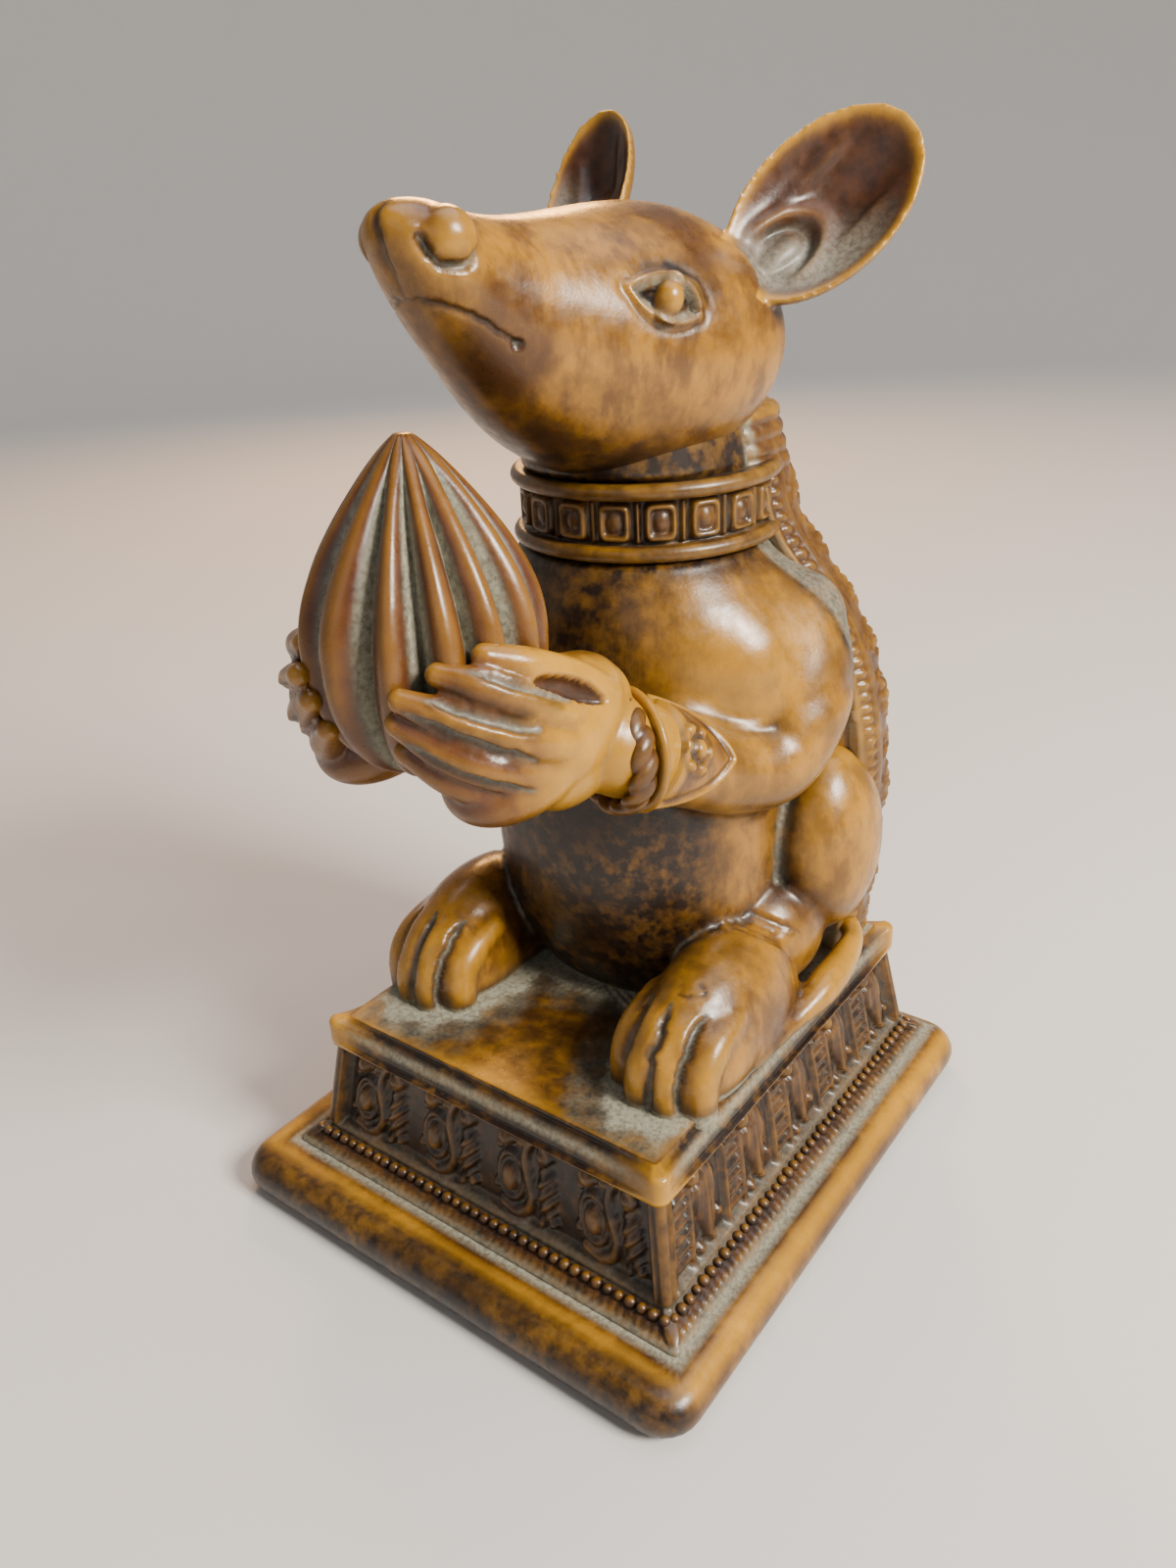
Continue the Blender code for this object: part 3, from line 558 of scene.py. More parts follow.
def plinth_top():
    """Top slab. Its upper face is dusty round the feet and bare where it has been rubbed."""
    low = TOP_HEIGHT - TOP_THICK
    # Each level as an inset and a height, first where the edge is whole and then where the chamfer is full.
    under = ((3.0, 0.0), (1.4, 0.0), (1.0, 0.0), (0.5, 0.03), (0.2, 0.1), (0.05, 0.2))
    levels = [(place, place) for place in under]
    levels += [((0, 0.5), (0.0, 0.24)), ((0, 0.75), (0.0, 0.28))]
    below = len(levels)
    for t in eased(0, 1, CHAMFER_STEPS):
        if t < 0.55:
            whole = (0.0, 0.95 + 1.8 * t / 0.55)
        elif t < 0.75:
            turn = math.pi / 2 * (t - 0.55) / 0.2
            whole = (TOP_ROUND * (1 - math.cos(turn)), TOP_THICK - TOP_ROUND * (1 - math.sin(turn)))
        else:
            whole = (TOP_ROUND + 1.4 * (t - 0.75) / 0.25, TOP_THICK)
        sag = 0.4 * bell(t, 0.14, 0.08) + 0.5 * bell(t, 0.84, 0.09) + 0.15 * math.sin(math.pi * t)
        levels.append((whole, (1.8 * t + 0.6 * sag, 0.35 + 2.9 * t - 0.5 * sag)))
    levels += [((by, TOP_THICK), (by, TOP_THICK)) for by in eased(2.0, 21.5, 42)]
    rings, cut, rank = [], [], []
    for i, ((by, z), (cut_by, cut_z)) in enumerate(levels):
        ring = level(inset(TOP_HALF, by), low + z, max(1.2 - 0.5 * by, 0.1), 0.4)
        reach = np.where(ring[:, 5] == 0, TOP_HALF[0], TOP_HALF[1]) - np.abs(ring[:, 6])
        share = np.where(ring[:, 5] < 0, 0, 1 - (1 - np.clip((reach - 1.3) / 10, 0, 1)) ** 3)
        points = ring[:, :3].copy()
        points[:, :2] -= ring[:, 3:5] * ((cut_by - by) * share)[:, None]
        points[:, 2] += (cut_z - z) * share
        rings.append(points)
        cut.append(share)
        rank.append(np.full(len(ring), (i - below) / CHAMFER_STEPS))
    top = Surface(*wrapped(rings))
    x, y, z = top.points.T
    share, t = (np.concatenate([np.concatenate(values), [0, 0]]) for values in (cut, rank))
    inside = share * (t >= 0) * (t <= 1)
    lines = bell(t, 0.14, 0.16) + bell(t, 0.84, 0.13)
    top.mark("stain_and_shade", inside * np.clip(0.7 + lines, 0, 1) * step(share, 0.02, 0.2))
    top.mark("dust", 0.6 * inside * bell(t, 0.5, 0.15) * step(share, 0.1, 0.5))
    edge = 0.8 * (t > -0.3) * (t < 1.0) + 0.6 * (t > -0.35) * (t < -0.02)
    top.mark("worn", edge * (1 - share))
    upper = step(t, 1.0, 1.1)
    ground = np.full(len(x), 9.0)
    for side in (-1, 1):
        toe = np.hypot((x - FEET_SHIFT - side * FEET_APART) / 6.6, np.minimum(y + 7.5, 0) / 10.2)
        ground = np.minimum(ground, (toe - 1) * 6.6)
    body = np.hypot(x / 15.0, np.minimum(y - 3.0, 0) / 6.5)
    ground = np.minimum(ground, (body - 1) * 7.0)
    ripple = 0.4 * np.sin(x * 1.3 + 0.7 * y) + 0.3 * np.sin(1.9 * y - x)
    near = fall(ground + ripple, 0.6, 2.4)
    top.push(0.3 * upper * near * (0.6 + 0.4 * np.sin(5.1 * x + 2.2 * y) * np.sin(4.3 * y - 1.7 * x)))
    top.mark("dust", upper * near)
    top.mark("dust", 0.3 * upper * fall(ground + 2 * ripple, 1.0, 6.0) * fall(y, 0, 8))
    top.mark("stain_and_shade", 0.85 * upper * fall(ground + ripple, 2.5, 10.0))
    rim = np.minimum(TOP_HALF[0] - np.abs(x - TOP_SHIFT[0]), TOP_HALF[1] - np.abs(y - TOP_SHIFT[1]))
    top.mark("stain_and_shade", 0.55 * upper * step(rim + ripple, 3.0, 7.0))
    top.mark("worn", 0.9 * upper * fall(rim, 1.6, 4.5))
    top.weather(fine=3, broad=10, depth=0.3, crease=0.15, stain_and_shade=0.4, dust=0.1, worn=0.2)
    return top.piece("plinth_top")


plinth_slab()
plinth_die()
moulding_beads()
plinth_top()


# Body.
# Torso, upper arms, haunches, feet and tail flow into each other, so they are one lump of overlapping forms
# that a voxel remesh joins. The joints are then softened, and the creases and toes are cut in.


def skin(clay, rings):
    """A closed skin over rings of equal length, added to a bmesh."""
    rows = [[clay.verts.new(point) for point in ring] for ring in rings]
    count = len(rows[0])
    faces = [clay.faces.new(rows[0]), clay.faces.new(list(reversed(rows[-1])))]
    for low, high in zip(rows, rows[1:]):
        for i in range(count):
            j = (i + 1) % count
            faces.append(clay.faces.new((low[j], low[i], high[i], high[j])))
    bmesh.ops.recalc_face_normals(clay, faces=faces)


def oval(centre, half_a, half_b, axis_a, axis_b, power=2.0, points=48):
    """Points round a superellipse, a plain ellipse at power 2 and squarer above it."""
    ring = []
    for i in range(points):
        angle = 2 * math.pi * i / points
        c, s = math.cos(angle), math.sin(angle)
        a = half_a * math.copysign(abs(c) ** (2 / power), c)
        b = half_b * math.copysign(abs(s) ** (2 / power), s)
        ring.append(Vector(centre) + Vector(axis_a) * a + Vector(axis_b) * b)
    return ring


def between(rows, each=4):
    """The same rows of sizes with smooth rows in between."""
    table = np.array(rows, float)
    table = np.vstack([2 * table[0] - table[1], table, 2 * table[-1] - table[-2]])
    out = []
    for a, b, c, d in zip(table, table[1:], table[2:], table[3:]):
        for i in range(each):
            t = i / each
            bend = (2 * a - 5 * b + 4 * c - d) * t**2 + (3 * b - a - 3 * c + d) * t**3
            out.append(0.5 * (2 * b + (c - a) * t + bend))
    out.append(table[-2])
    return out


def stacked(clay, rows, power):
    """A form of flat ovals at rising heights: each row is height, half-width, front y and back y."""
    rings = []
    for z, half_width, front, back in between(rows):
        middle, half_deep = (0, (front + back) / 2, z), (back - front) / 2
        rings.append(oval(middle, half_width, half_deep, (1, 0, 0), (0, 1, 0), power))
    skin(clay, rings)


def ball(clay, centre, radii, turn=(0, 0, 0)):
    """An ellipsoid, turned by angles in degrees about X, Y and Z."""
    rx, ry, rz = (math.radians(a) for a in turn)
    turned = Matrix.Rotation(rz, 4, "Z") @ Matrix.Rotation(ry, 4, "Y") @ Matrix.Rotation(rx, 4, "X")
    matrix = Matrix.Translation(centre) @ turned @ Matrix.Diagonal((*radii, 1))
    bmesh.ops.create_uvsphere(clay, u_segments=48, v_segments=24, radius=1.0, matrix=matrix)


def limb(clay, points, sides=24):
    """A round limb through the points, with a ball at each end."""
    path = smooth_path(points, 8)
    rings = []
    for i, knot in enumerate(path):
        before, after = path[max(i - 1, 0)], path[min(i + 1, len(path) - 1)]
        along = (after.xyz - before.xyz).normalized()
        side = along.cross(Vector((0.31, 0.17, 0.93))).normalized()
        rings.append(oval(knot.xyz, knot.w, knot.w, side, along.cross(side), points=sides))
    skin(clay, rings)
    for end in (path[0], path[-1]):
        ball(clay, end.xyz, (end.w, end.w, end.w))


def sided(points, side):
    """Points of the left side as they are where side is 1, or mirrored to the right where it is -1."""
    points = np.array(points, float)
    points[..., 0] *= side
    return points


def fused(clay, voxel, polish):
    """One closed skin over all the forms in the clay, softened by a number of smoothing rounds."""
    mesh = bpy.data.meshes.new("clay")
    clay.to_mesh(mesh)
    clay.free()
    thing = bpy.data.objects.new("clay", mesh)
    bpy.context.scene.collection.objects.link(thing)
    remesh = thing.modifiers.new("join", "REMESH")
    remesh.mode = "VOXEL"
    remesh.voxel_size = voxel
    smooth = thing.modifiers.new("polish", "SMOOTH")
    smooth.iterations = polish
    return baked(thing)


# The left arm, as points with a radius.
ARM = (
    (14.3, 12.8, 61.0, 5.7),
    (16.2, 10.6, 55.0, 6.0),
    (16.4, 6.0, 49.8, 5.0),
    (15.0, 0.0, 50.0, 4.2),
    (13.4, -5.0, 52.3, 4.1),
    (12.4, -11.0, 55.6, 4.6),
)
HAUNCH = ((17.7, 15.8, 36.2), (5.9, 7.6, 10.7))
TOES = ((11.2, -14.8), (13.9, -16.4), (16.7, -16.2), (19.3, -14.8))
# A toe and the cut beside it, as distance behind the tip and height, the toe also with its radius.
TOE = ((7, 27.8, 1.7), (3.4, 26.6, 1.9), (1.4, 24.3, 1.9), (1.2, 20.4, 1.8))
TOE_CUT = ((5.2, 29.4), (3.2, 28.4), (1.2, 26.6), (0, 24.2), (0, 21.2))
# The torso from below, as height, half-width, front y and back y.
TORSO = (
    (20.0, 14.5, -1.5, 24.0),
    (25.0, 15.6, -4.6, 25.0),
    (31.0, 16.0, -6.8, 26.0),
    (37.0, 16.2, -7.8, 26.0),
    (43.0, 16.0, -7.8, 26.5),
    (49.0, 15.8, -7.2, 26.5),
    (55.0, 16.4, -6.6, 26.0),
    (60.0, 17.2, -6.2, 25.0),
    (64.0, 16.4, -5.4, 24.0),
    (67.0, 14.0, -4.2, 22.6),
    (70.0, 11.8, -3.0, 21.4),
    (80.0, 10.6, -3.0, 19.4),
)
TORSO_POWER = 2.2
# The neck's middle as y and z, and its radius inside the collar's band.
NECK = (9.6, 72.8, 11.0)


def off_torso(points):
    """Rough distance of each point outside the torso."""
    x, y, z = points.T
    heights, *columns = zip(*TORSO)
    half, front, back = (np.interp(z, heights, column) for column in columns)
    deep = (back - front) / 2
    size = np.abs(x / half) ** TORSO_POWER + np.abs((y - front - deep) / deep) ** TORSO_POWER
    return (size ** (1 / TORSO_POWER) - 1) * np.minimum(half, deep)


def off_ball(points, centre, radii):
    """Rough distance of each point outside an ellipsoid."""
    local = (points - centre) / radii
    size = np.linalg.norm(local, axis=1)
    return (size - 1) * size / np.linalg.norm(local / radii, axis=1)


def off_limb(points, knots):
    """Rough distance of each point outside a round limb."""
    best = np.full(len(points), 99.0)
    for a, b in zip(knots, knots[1:]):
        a, b = np.array(a), np.array(b)
        run = b[:3] - a[:3]
        t = np.clip((points - a[:3]) @ run / (run @ run), 0, 1)
        apart = np.linalg.norm(points - a[:3] - t[:, None] * run, axis=1) - a[3] - t * (b[3] - a[3])
        best = np.minimum(best, apart)
    return best


def legs(clay):
    """Haunch, ankle, foot and four toes on each side."""
    for side in (-1, 1):
        ball(clay, sided(HAUNCH[0], side), HAUNCH[1])
        ball(clay, (side * 14.0, 9.0, 27.5), (6.5, 8.0, 7.0))
        ball(clay, (FEET_SHIFT + side * 15.4, -2.8, 24.6), (6.1, 11.8, 8.2), turn=(-6, 0, 0))
        ball(clay, (FEET_SHIFT + side * FEET_APART, -7.4, 24.2), (6.2, 9.2, 7.0))
        for across, tip in TOES:
            limb(clay, [(FEET_SHIFT + side * across, tip + back, z, radius) for back, z, radius in TOE])


def tail(clay):
    """The tail comes round from under the cape and lies along the edge of the top slab."""
    route = (
        (15.0, 22.0, 24.0, 2.0),
        (20.6, 18.0, 24.0, 1.2),
        (22.2, 12.5, 24.0, 1.6),
        (22.4, 7.0, 23.5, 1.8),
        (21.9, 1.5, 22.3, 1.0),
        (21.4, -5.5, 21.7, 0.7),
    )
    limb(clay, route)


def foot_cuts(body, side):
    """Deep cuts between the toes, and three wrinkles over the instep."""
    for a, b in zip(TOES, TOES[1:]):
        x, tip = FEET_SHIFT + side * (a[0] + b[0]) / 2, (a[1] + b[1]) / 2
        path = [(x, tip + back, z) for back, z in TOE_CUT]
        body.groove(path, 0.62, 0.75, stain_and_shade=1.0, dust=0.3, taper=0.12)
        body.groove(path, 1.3, 0.0, stain_and_shade=0.5, taper=0.2)
    for ahead in (0.0, 1.3, 2.6):
        wrinkle = []
        for off in (-5, -2.5, 0, 2.5, 5):
            x = FEET_SHIFT + side * (15.2 + off)
            wrinkle.append((x, 3.4 - ahead + 0.12 * off * off, 32.6 - 0.1 * off * off + 0.15 * ahead))
        body.groove(wrinkle, 0.55, 0.28, stain_and_shade=0.55, taper=0.3)


def haunch_seam(body, side):
    """A dark crease where the haunch meets the torso, with painted shade spreading round it."""
    apart = np.hypot(off_ball(body.points, sided(HAUNCH[0], side), HAUNCH[1]), off_torso(body.points))
    seam = bell(apart, 0, 0.85) * step(body.points[:, 2], 24, 28)
    body.push(-0.55 * seam)
    body.mark("stain_and_shade", 0.9 * seam)
    body.mark("dust", 0.35 * seam)
    # Painted shade round the haunch.
    body.mark("stain_and_shade", 0.8 * bell(apart, 0, 3.0))


def loose_flake(body):
    """A small crack like a hook on the left foot, where a flake has come loose."""
    flake = body.points - body.points[np.argmin(((body.points - (17.0, -9.6, 31.2)) ** 2).sum(1))]
    angle = np.arctan2(flake[:, 1], flake[:, 0])
    far = np.linalg.norm(flake, axis=1) - 0.95 - 0.22 * np.sin(2 * angle + 0.6) - 0.1 * np.sin(5 * angle)
    crack = bell(far, 0, 0.2) * step(np.cos(angle + 0.9), -0.9, -0.5)
    body.push(-0.16 * crack)
    body.mark("stain_and_shade", crack)


def body_marks(body):
    """Dirt round the feet, painted shade on belly, chest and neck, a stain by the cape, rubbed shoulders."""
    x, y, z = body.points.T
    body.mark("dust", 0.9 * fall(z, TOP_HEIGHT + 0.1, TOP_HEIGHT + 0.9))
    body.mark("stain_and_shade", 0.8 * fall(z, TOP_HEIGHT + 0.3, TOP_HEIGHT + 2.6))
    # Painted shade on surfaces that face down.
    body.mark("stain_and_shade", 0.35 * step(-body.normals[:, 2], 0.15, 0.9))
    # Painted shade on the chest front below the hands, on the belly, between the feet, and from the body on
    # the near foot.
    front = step(-y, -9, 3) * fall(np.abs(x), 9, 17)
    body.mark("stain_and_shade", 0.85 * front * step(z, 50, 56) * (1 - 0.55 * step(x, 3, 12)))
    belly = step(-y, -9, 3) * fall(np.abs(x), 12, 17) * fall(z, 46, 54)
    body.mark("stain_and_shade", 0.95 * belly * (off_torso(body.points) < 0.7))
    body.mark("stain_and_shade", 0.85 * fall(z, 22, 31) * fall(np.abs(x), 5, 8.5))
    body.mark("stain_and_shade", 0.6 * bell(np.linalg.norm(body.points - (16.0, -6.0, 31.0), axis=1), 0, 5.0))
    seam = np.interp(z, [50, 58, 64, 70], [15, 14, 12, 10]) - y
    clear = (off_ball(np.stack([np.abs(x), y, z], 1), *HAUNCH) > 0.8) * step(z, 30, 34)
    body.mark("stain_and_shade", 0.8 * clear * fall(seam, 0.2, 2.0))
    body.mark("dust", 0.4 * clear * fall(seam, -0.3, 0.5))
    # Painted shade on the neck under the head.
    body.mark("stain_and_shade", 0.9 * step(z, 66, 69))
    body.mark("worn", 0.55 * bell(np.abs(x), 15, 5) * bell(z, 59, 7) * fall(y, 12, 17))


def mouse_body():
    clay = bmesh.new()
    stacked(clay, TORSO, TORSO_POWER)
    for side in (-1, 1):
        limb(clay, sided(ARM, side))
        ball(clay, (side * 9.8, 7.4, 59.2), (8.0, 9.0, 8.2))
        ball(clay, (side * 13.8, 6.4, 58.6), (4.8, 6.6, 6.4))
    legs(clay)
    tail(clay)
    body = fused(clay, 0.4, 5)
    # The neck is kept inside the collar's band.
    x, y, z = body.points.T
    middle, height, radius = NECK
    far = np.hypot(x, y - middle)
    kept = 1 - fall(np.abs(z - height), 2.8, 4.2) * np.clip(1 - radius / far, 0, 1)
    body.points = np.stack([x * kept, middle + (y - middle) * kept, z], 1)
    # Chest and shoulder run into each other without an edge.
    soft = step(np.abs(x), 5, 9) * step(z, 53.5, 56.5) * fall(z, 66, 69) * fall(y, 12, 16)
    body.soften(soft, 140)
    for side in (-1, 1):
        arm = [tuple(k) for k in smooth_path(sided(ARM, side))]
        apart = np.hypot(np.maximum(off_limb(body.points, arm), 0), np.maximum(off_torso(body.points), 0))
        soft = fall(apart, 1.2, 3.0) * (np.abs(body.points[:, 0]) > 6) * step(body.points[:, 2], 40, 44)
        body.soften(soft, 90)
        body.turn()
        # Painted shade in the crease where the arm meets the chest, on its front side.
        body.mark("stain_and_shade", 0.55 * fall(apart, 0.3, 1.8) * step(-body.points[:, 1], -9, -2))
    for side in (-1, 1):
        foot_cuts(body, side)
        haunch_seam(body, side)
    loose_flake(body)
    body.turn()
    body.weather(fine=6, broad=60, depth=0.45, crease=0.16, stain_and_shade=0.9, dust=0.5, worn=0.7)
    body_marks(body)
    return body.piece("mouse_body")


mouse_body()


# Cape.
# A stiff cloth hangs from the collar down the back to the plinth. Its border is a beaded strip between two
# raised edges, and its field has rows of small rosettes. The ridged hood stands up behind the collar.

# The cape from below, as height, half-width, front y and back y.
CAPE_ROWS = (
    (18.8, 18.9, 15.0, 25.2),
    (21.8, 19.6, 15.0, 27.1),
    (30.0, 20.5, 15.0, 27.6),
    (40.0, 21.0, 15.0, 28.0),
    (50.0, 20.5, 15.0, 27.5),
    (58.0, 18.5, 14.0, 26.2),
    (64.0, 15.6, 12.0, 24.6),
    (70.0, 12.4, 10.0, 22.4),
    (76.0, 11.4, 8.0, 21.0),
    (81.0, 10.4, 7.0, 20.2),
)
CAPE_POINTS = 210
CAPE_HEM = 20.3
BEAD_GAP = 1.25
ROSETTE_GAP = 5.4
HOOD_FOOT = 75


def cape_rings():
    """Rings of evenly spaced points, and how far along its own ring each point lies."""
    rings, along = [], []
    for z, half_width, front, back in between(CAPE_ROWS, 30):
        middle, half_deep = (0, (front + back) / 2, z), (back - front) / 2
        ring = [tuple(p) for p in oval(middle, half_width, half_deep, (1, 0, 0), (0, 1, 0), 3.0, 1200)]
        ring = np.array([*ring, ring[0]])
        length = np.concatenate([[0], np.cumsum(np.linalg.norm(np.diff(ring, axis=0), axis=1))])
        spots = np.linspace(0, length[-1], CAPE_POINTS + 1)[:-1]
        rings.append(np.stack([np.interp(spots, length, ring[:, axis]) for axis in range(3)], 1))
        along.append(spots)
    return rings, along


def mouse_cape():
    rings, along = cape_rings()
    cape = Surface(*wrapped(rings))
    x, z = cape.points[:, 0], cape.points[:, 2]
    place = np.concatenate([np.array(along).ravel(), [0, 0]])
    whole = np.concatenate([np.repeat([spots[-1] for spots in along], CAPE_POINTS), [1, 1]])
    # Distance from the middle of the back, then from the edge of the cloth.
    middle = np.abs((place / whole + 0.25) % 1.0 - 0.5) * whole
    side_edge = np.interp(z, [row[0] for row in CAPE_ROWS], [row[1] + 6.6 for row in CAPE_ROWS]) - middle
    hem = z - CAPE_HEM
    v = np.minimum(side_edge, hem)
    on_cloth = step(z, 20.5, 21.5)
    shape = np.where(v > 0, 0.25, -0.5)
    rim = 0.5 * bell(v, 0.6, 0.4) + 0.4 * bell(v, 3.2, 0.35)
    bead = np.where(hem > side_edge, z, middle) / BEAD_GAP % 1 - 0.5
    beads = 0.5 * np.sqrt(np.clip(1 - ((v - 1.9) / 0.75) ** 2 - (bead / 0.46) ** 2, 0, None))
    row = np.round((z - 24) / ROSETTE_GAP)
    du = ((middle * np.sign(x) / ROSETTE_GAP + 0.5 * (row % 2)) % 1 - 0.5) * ROSETTE_GAP
    dz = z - 24 - row * ROSETTE_GAP
    far, turn = np.hypot(du, dz), np.arctan2(dz, du)
    flower = 0.6 * np.clip(1 - (far / (1.75 + 0.45 * np.cos(5 * turn))) ** 2, 0, 1) ** 0.5
    flower -= 0.4 * bell(far, 0.75, 0.22)
    lattice = 0.3 * bell(np.abs(du) + np.abs(dz), 2.65, 0.28)
    field = np.where(v > 3.9, np.maximum(flower, lattice), 0)
    hood = step(z, HOOD_FOOT - 0.5, HOOD_FOOT + 0.5)
    ridges = 0.3 * np.abs(np.sin(math.pi * (z - HOOD_FOOT) / 1.5)) ** 0.7
    ridges += 0.2 * np.abs(np.sin(math.pi * middle / 2.3))
    cloth = shape + np.maximum(rim, beads) * (v > 0) + field
    cape.push((cloth * (1 - hood) + ridges * hood) * on_cloth)
    cape.mark("stain_and_shade", 0.4 * step(v, -0.5, 0.2))
    cape.mark("dust", 0.5 * bell(v, -0.1, 0.5) * on_cloth)
    cape.mark("red", 0.35 * step(v, 0.0, 0.4))
    cape.weather(fine=4, broad=30, depth=0.35, crease=0.14, stain_and_shade=0.85, dust=0.45, worn=0.6)
    return cape.piece("mouse_cape")


mouse_cape()


# Collar.
# A band round the neck between two raised rims, with framed square panels and a thin bar between each two.

COLLAR_MIDDLE = (0.0, 9.6, 72.8)
COLLAR_RADIUS = 12.6
COLLAR_HEIGHT = 5.6
COLLAR_RIM = 0.75
COLLAR_PANELS = 18


def round_axis(middle, turn, reach):
    """Points round an upright line through the middle, with a reach for each direction."""
    x, y, z = middle
    return np.stack([x + reach * np.cos(turn), y + reach * np.sin(turn), np.full(len(turn), z)], 1)


def mouse_collar():
    half = COLLAR_HEIGHT / 2
    cell = 2 * math.pi * COLLAR_RADIUS / COLLAR_PANELS
    turn = np.linspace(0, 2 * math.pi, COLLAR_PANELS * 24 + 1)[:-1]
    u = ((turn / (2 * math.pi) * COLLAR_PANELS) % 1 - 0.5) * cell
    bend = 0.45 * math.pi
    rounded = [(COLLAR_RIM * math.cos(a), COLLAR_RIM * math.sin(a)) for a in eased(-bend, bend, 9)]
    profile = [(-3.6, -half - 0.2), (-0.5, -half - COLLAR_RIM)]
    profile += [(out, up - half) for out, up in rounded]
    profile += [(-0.85, z) for z in eased(-half + 0.7, half - 0.7, 28)]
    profile += [(out, up + half) for out, up in rounded]
    profile += [(-0.5, half + COLLAR_RIM), (-3.6, half + 0.2)]
    rings = []
    for out, up in profile:
        reach = np.full(len(turn), COLLAR_RADIUS + out)
        if abs(up) < half - 0.65:
            square = (np.abs(u / 1.6) ** 5 + abs(up / 1.85) ** 5) ** 0.2
            raised = fall(square, 0.84, 1.04)
            sunk = 0.45 * fall(square, 0.5, 0.74)
            pillow = 0.4 * np.clip(1 - (u / 0.9) ** 2 - (up / 1.1) ** 2, 0, 1)
            bar = 0.55 * bell(np.abs(u), cell / 2, 0.22) * fall(abs(up), 1.7, 2.1)
            reach = reach + np.maximum(raised * (0.8 - sunk + pillow), bar)
        # Behind the neck the band lies under the cape.
        reach -= 2.6 * step(np.sin(turn), 0.4, 0.8)
        rings.append(round_axis((*COLLAR_MIDDLE[:2], COLLAR_MIDDLE[2] + up), turn, reach))
    collar = Surface(*wrapped(rings))
    collar.mark("stain_and_shade", 0.6)
    collar.mark("red", 0.3)
    collar.weather(fine=4, broad=16, depth=0.2, crease=0.1, stain_and_shade=1.0, dust=0.5, worn=0.6)
    return collar.piece("mouse_collar")


mouse_collar()


# Head.
# A long smooth head with dished ears, almond eyes under a heavy brow, comma-shaped nostrils on small bosses,
# a cleft under the nose and a thin mouth line that ends in a deep notch.

EYE = (10.9, -2.8, 91.6)
EYE_ALONG = (0.4, 0.83, -0.39)
EYE_OUT = (0.86, -0.42, 0.28)
EYE_SHRINK = 1.14
EYE_CORNER = 3.8
EAR_DEPTH = 3.0
EAR_WALL = 1.3
EAR_RINGS = 12


def ear(clay, root, tip, facing, half_width):
    """A dished oval, hollow on the side that faces forwards, with a rounded rim."""
    root, tip, facing = Vector(root), Vector(tip), Vector(facing)
    along = tip - root
    half_length = along.length / 2
    along.normalize()
    facing = (facing - along * facing.dot(along)).normalized()
    across = along.cross(facing)
    centre = (root + tip) / 2
    rows = []
    for back in (0, 1):
        part = []
        for i in range(EAR_RINGS + 1):
            share = (i + 0.35) / (EAR_RINGS + 0.35)
            hollow = EAR_DEPTH * (1 - share**2) + back * EAR_WALL
            middle = centre - facing * hollow
            part.append(oval(middle, half_length * share, half_width * share, along, across))
        rows += reversed(part) if back else part
    skin(clay, rows)


def eye(head, side):
    """Lids round a recessed almond, a raised oval iris, a crease under the brow and painted shade below it.
    """
    out, along = sided(EYE_OUT, side), sided(EYE_ALONG, side)
    out /= np.linalg.norm(out)
    along -= out * (along @ out)
    along /= np.linalg.norm(along)
    up = np.cross(out, along)
    up *= 1 if up[2] > 0 else -1
    local = head.points - sided(EYE, side)
    s, t, w = EYE_SHRINK * local @ along, EYE_SHRINK * local @ up, local @ out
    here = (np.abs(w) < 4) & (np.hypot(s, t) < 9)
    almond = np.clip(1 - (s / EYE_CORNER) ** 2, 0, 1)
    lid = np.where(t > 0, t - 2.0 * almond**0.8, -1.75 * almond**0.85 - t)
    lid = np.where(np.abs(s) > EYE_CORNER, np.hypot(np.abs(s) - EYE_CORNER, t), lid)
    inside = step(-lid, 0.15, 0.55)
    rim = bell(lid, 0.05, 0.32)
    trough = bell(lid, 0.85, 0.4) * step(np.abs(t) + 0.3 * np.abs(s), 0.2, 1.6)
    ball_shape = inside * (-0.75 + 0.5 * np.clip(1 - (s / 3.4) ** 2 - (t / 2.1) ** 2, 0, 1))
    iris = np.clip(1 - ((s - 0.1) / 1.5) ** 2 - (t / 2.2) ** 2, 0, 1) ** 0.6
    arch = 3.7 - 0.11 * (s - 0.5) ** 2
    brow = bell(t, arch, 0.7) * fall(np.abs(s - 0.5), 3.0, 5.5)
    brow_shadow = bell(t, 2.6, 2.2) * bell(s, 1.8, 4.2) * (1 - inside)
    head.push(np.where(here, ball_shape + iris + 0.3 * rim - 0.1 * trough - 0.12 * brow, 0))
    hollow = inside * (1 - np.clip(iris * 2.2, 0, 1))
    head.mark("stain_and_shade", np.where(here, 0.95 * hollow + 0.6 * trough * (1 - inside), 0))
    # Painted shadow under the brow.
    head.mark("stain_and_shade", np.where(here, 0.5 * brow + 0.6 * brow_shadow, 0))
    head.mark("dust", np.where(here, 0.5 * bell(lid, -0.35, 0.22), 0))


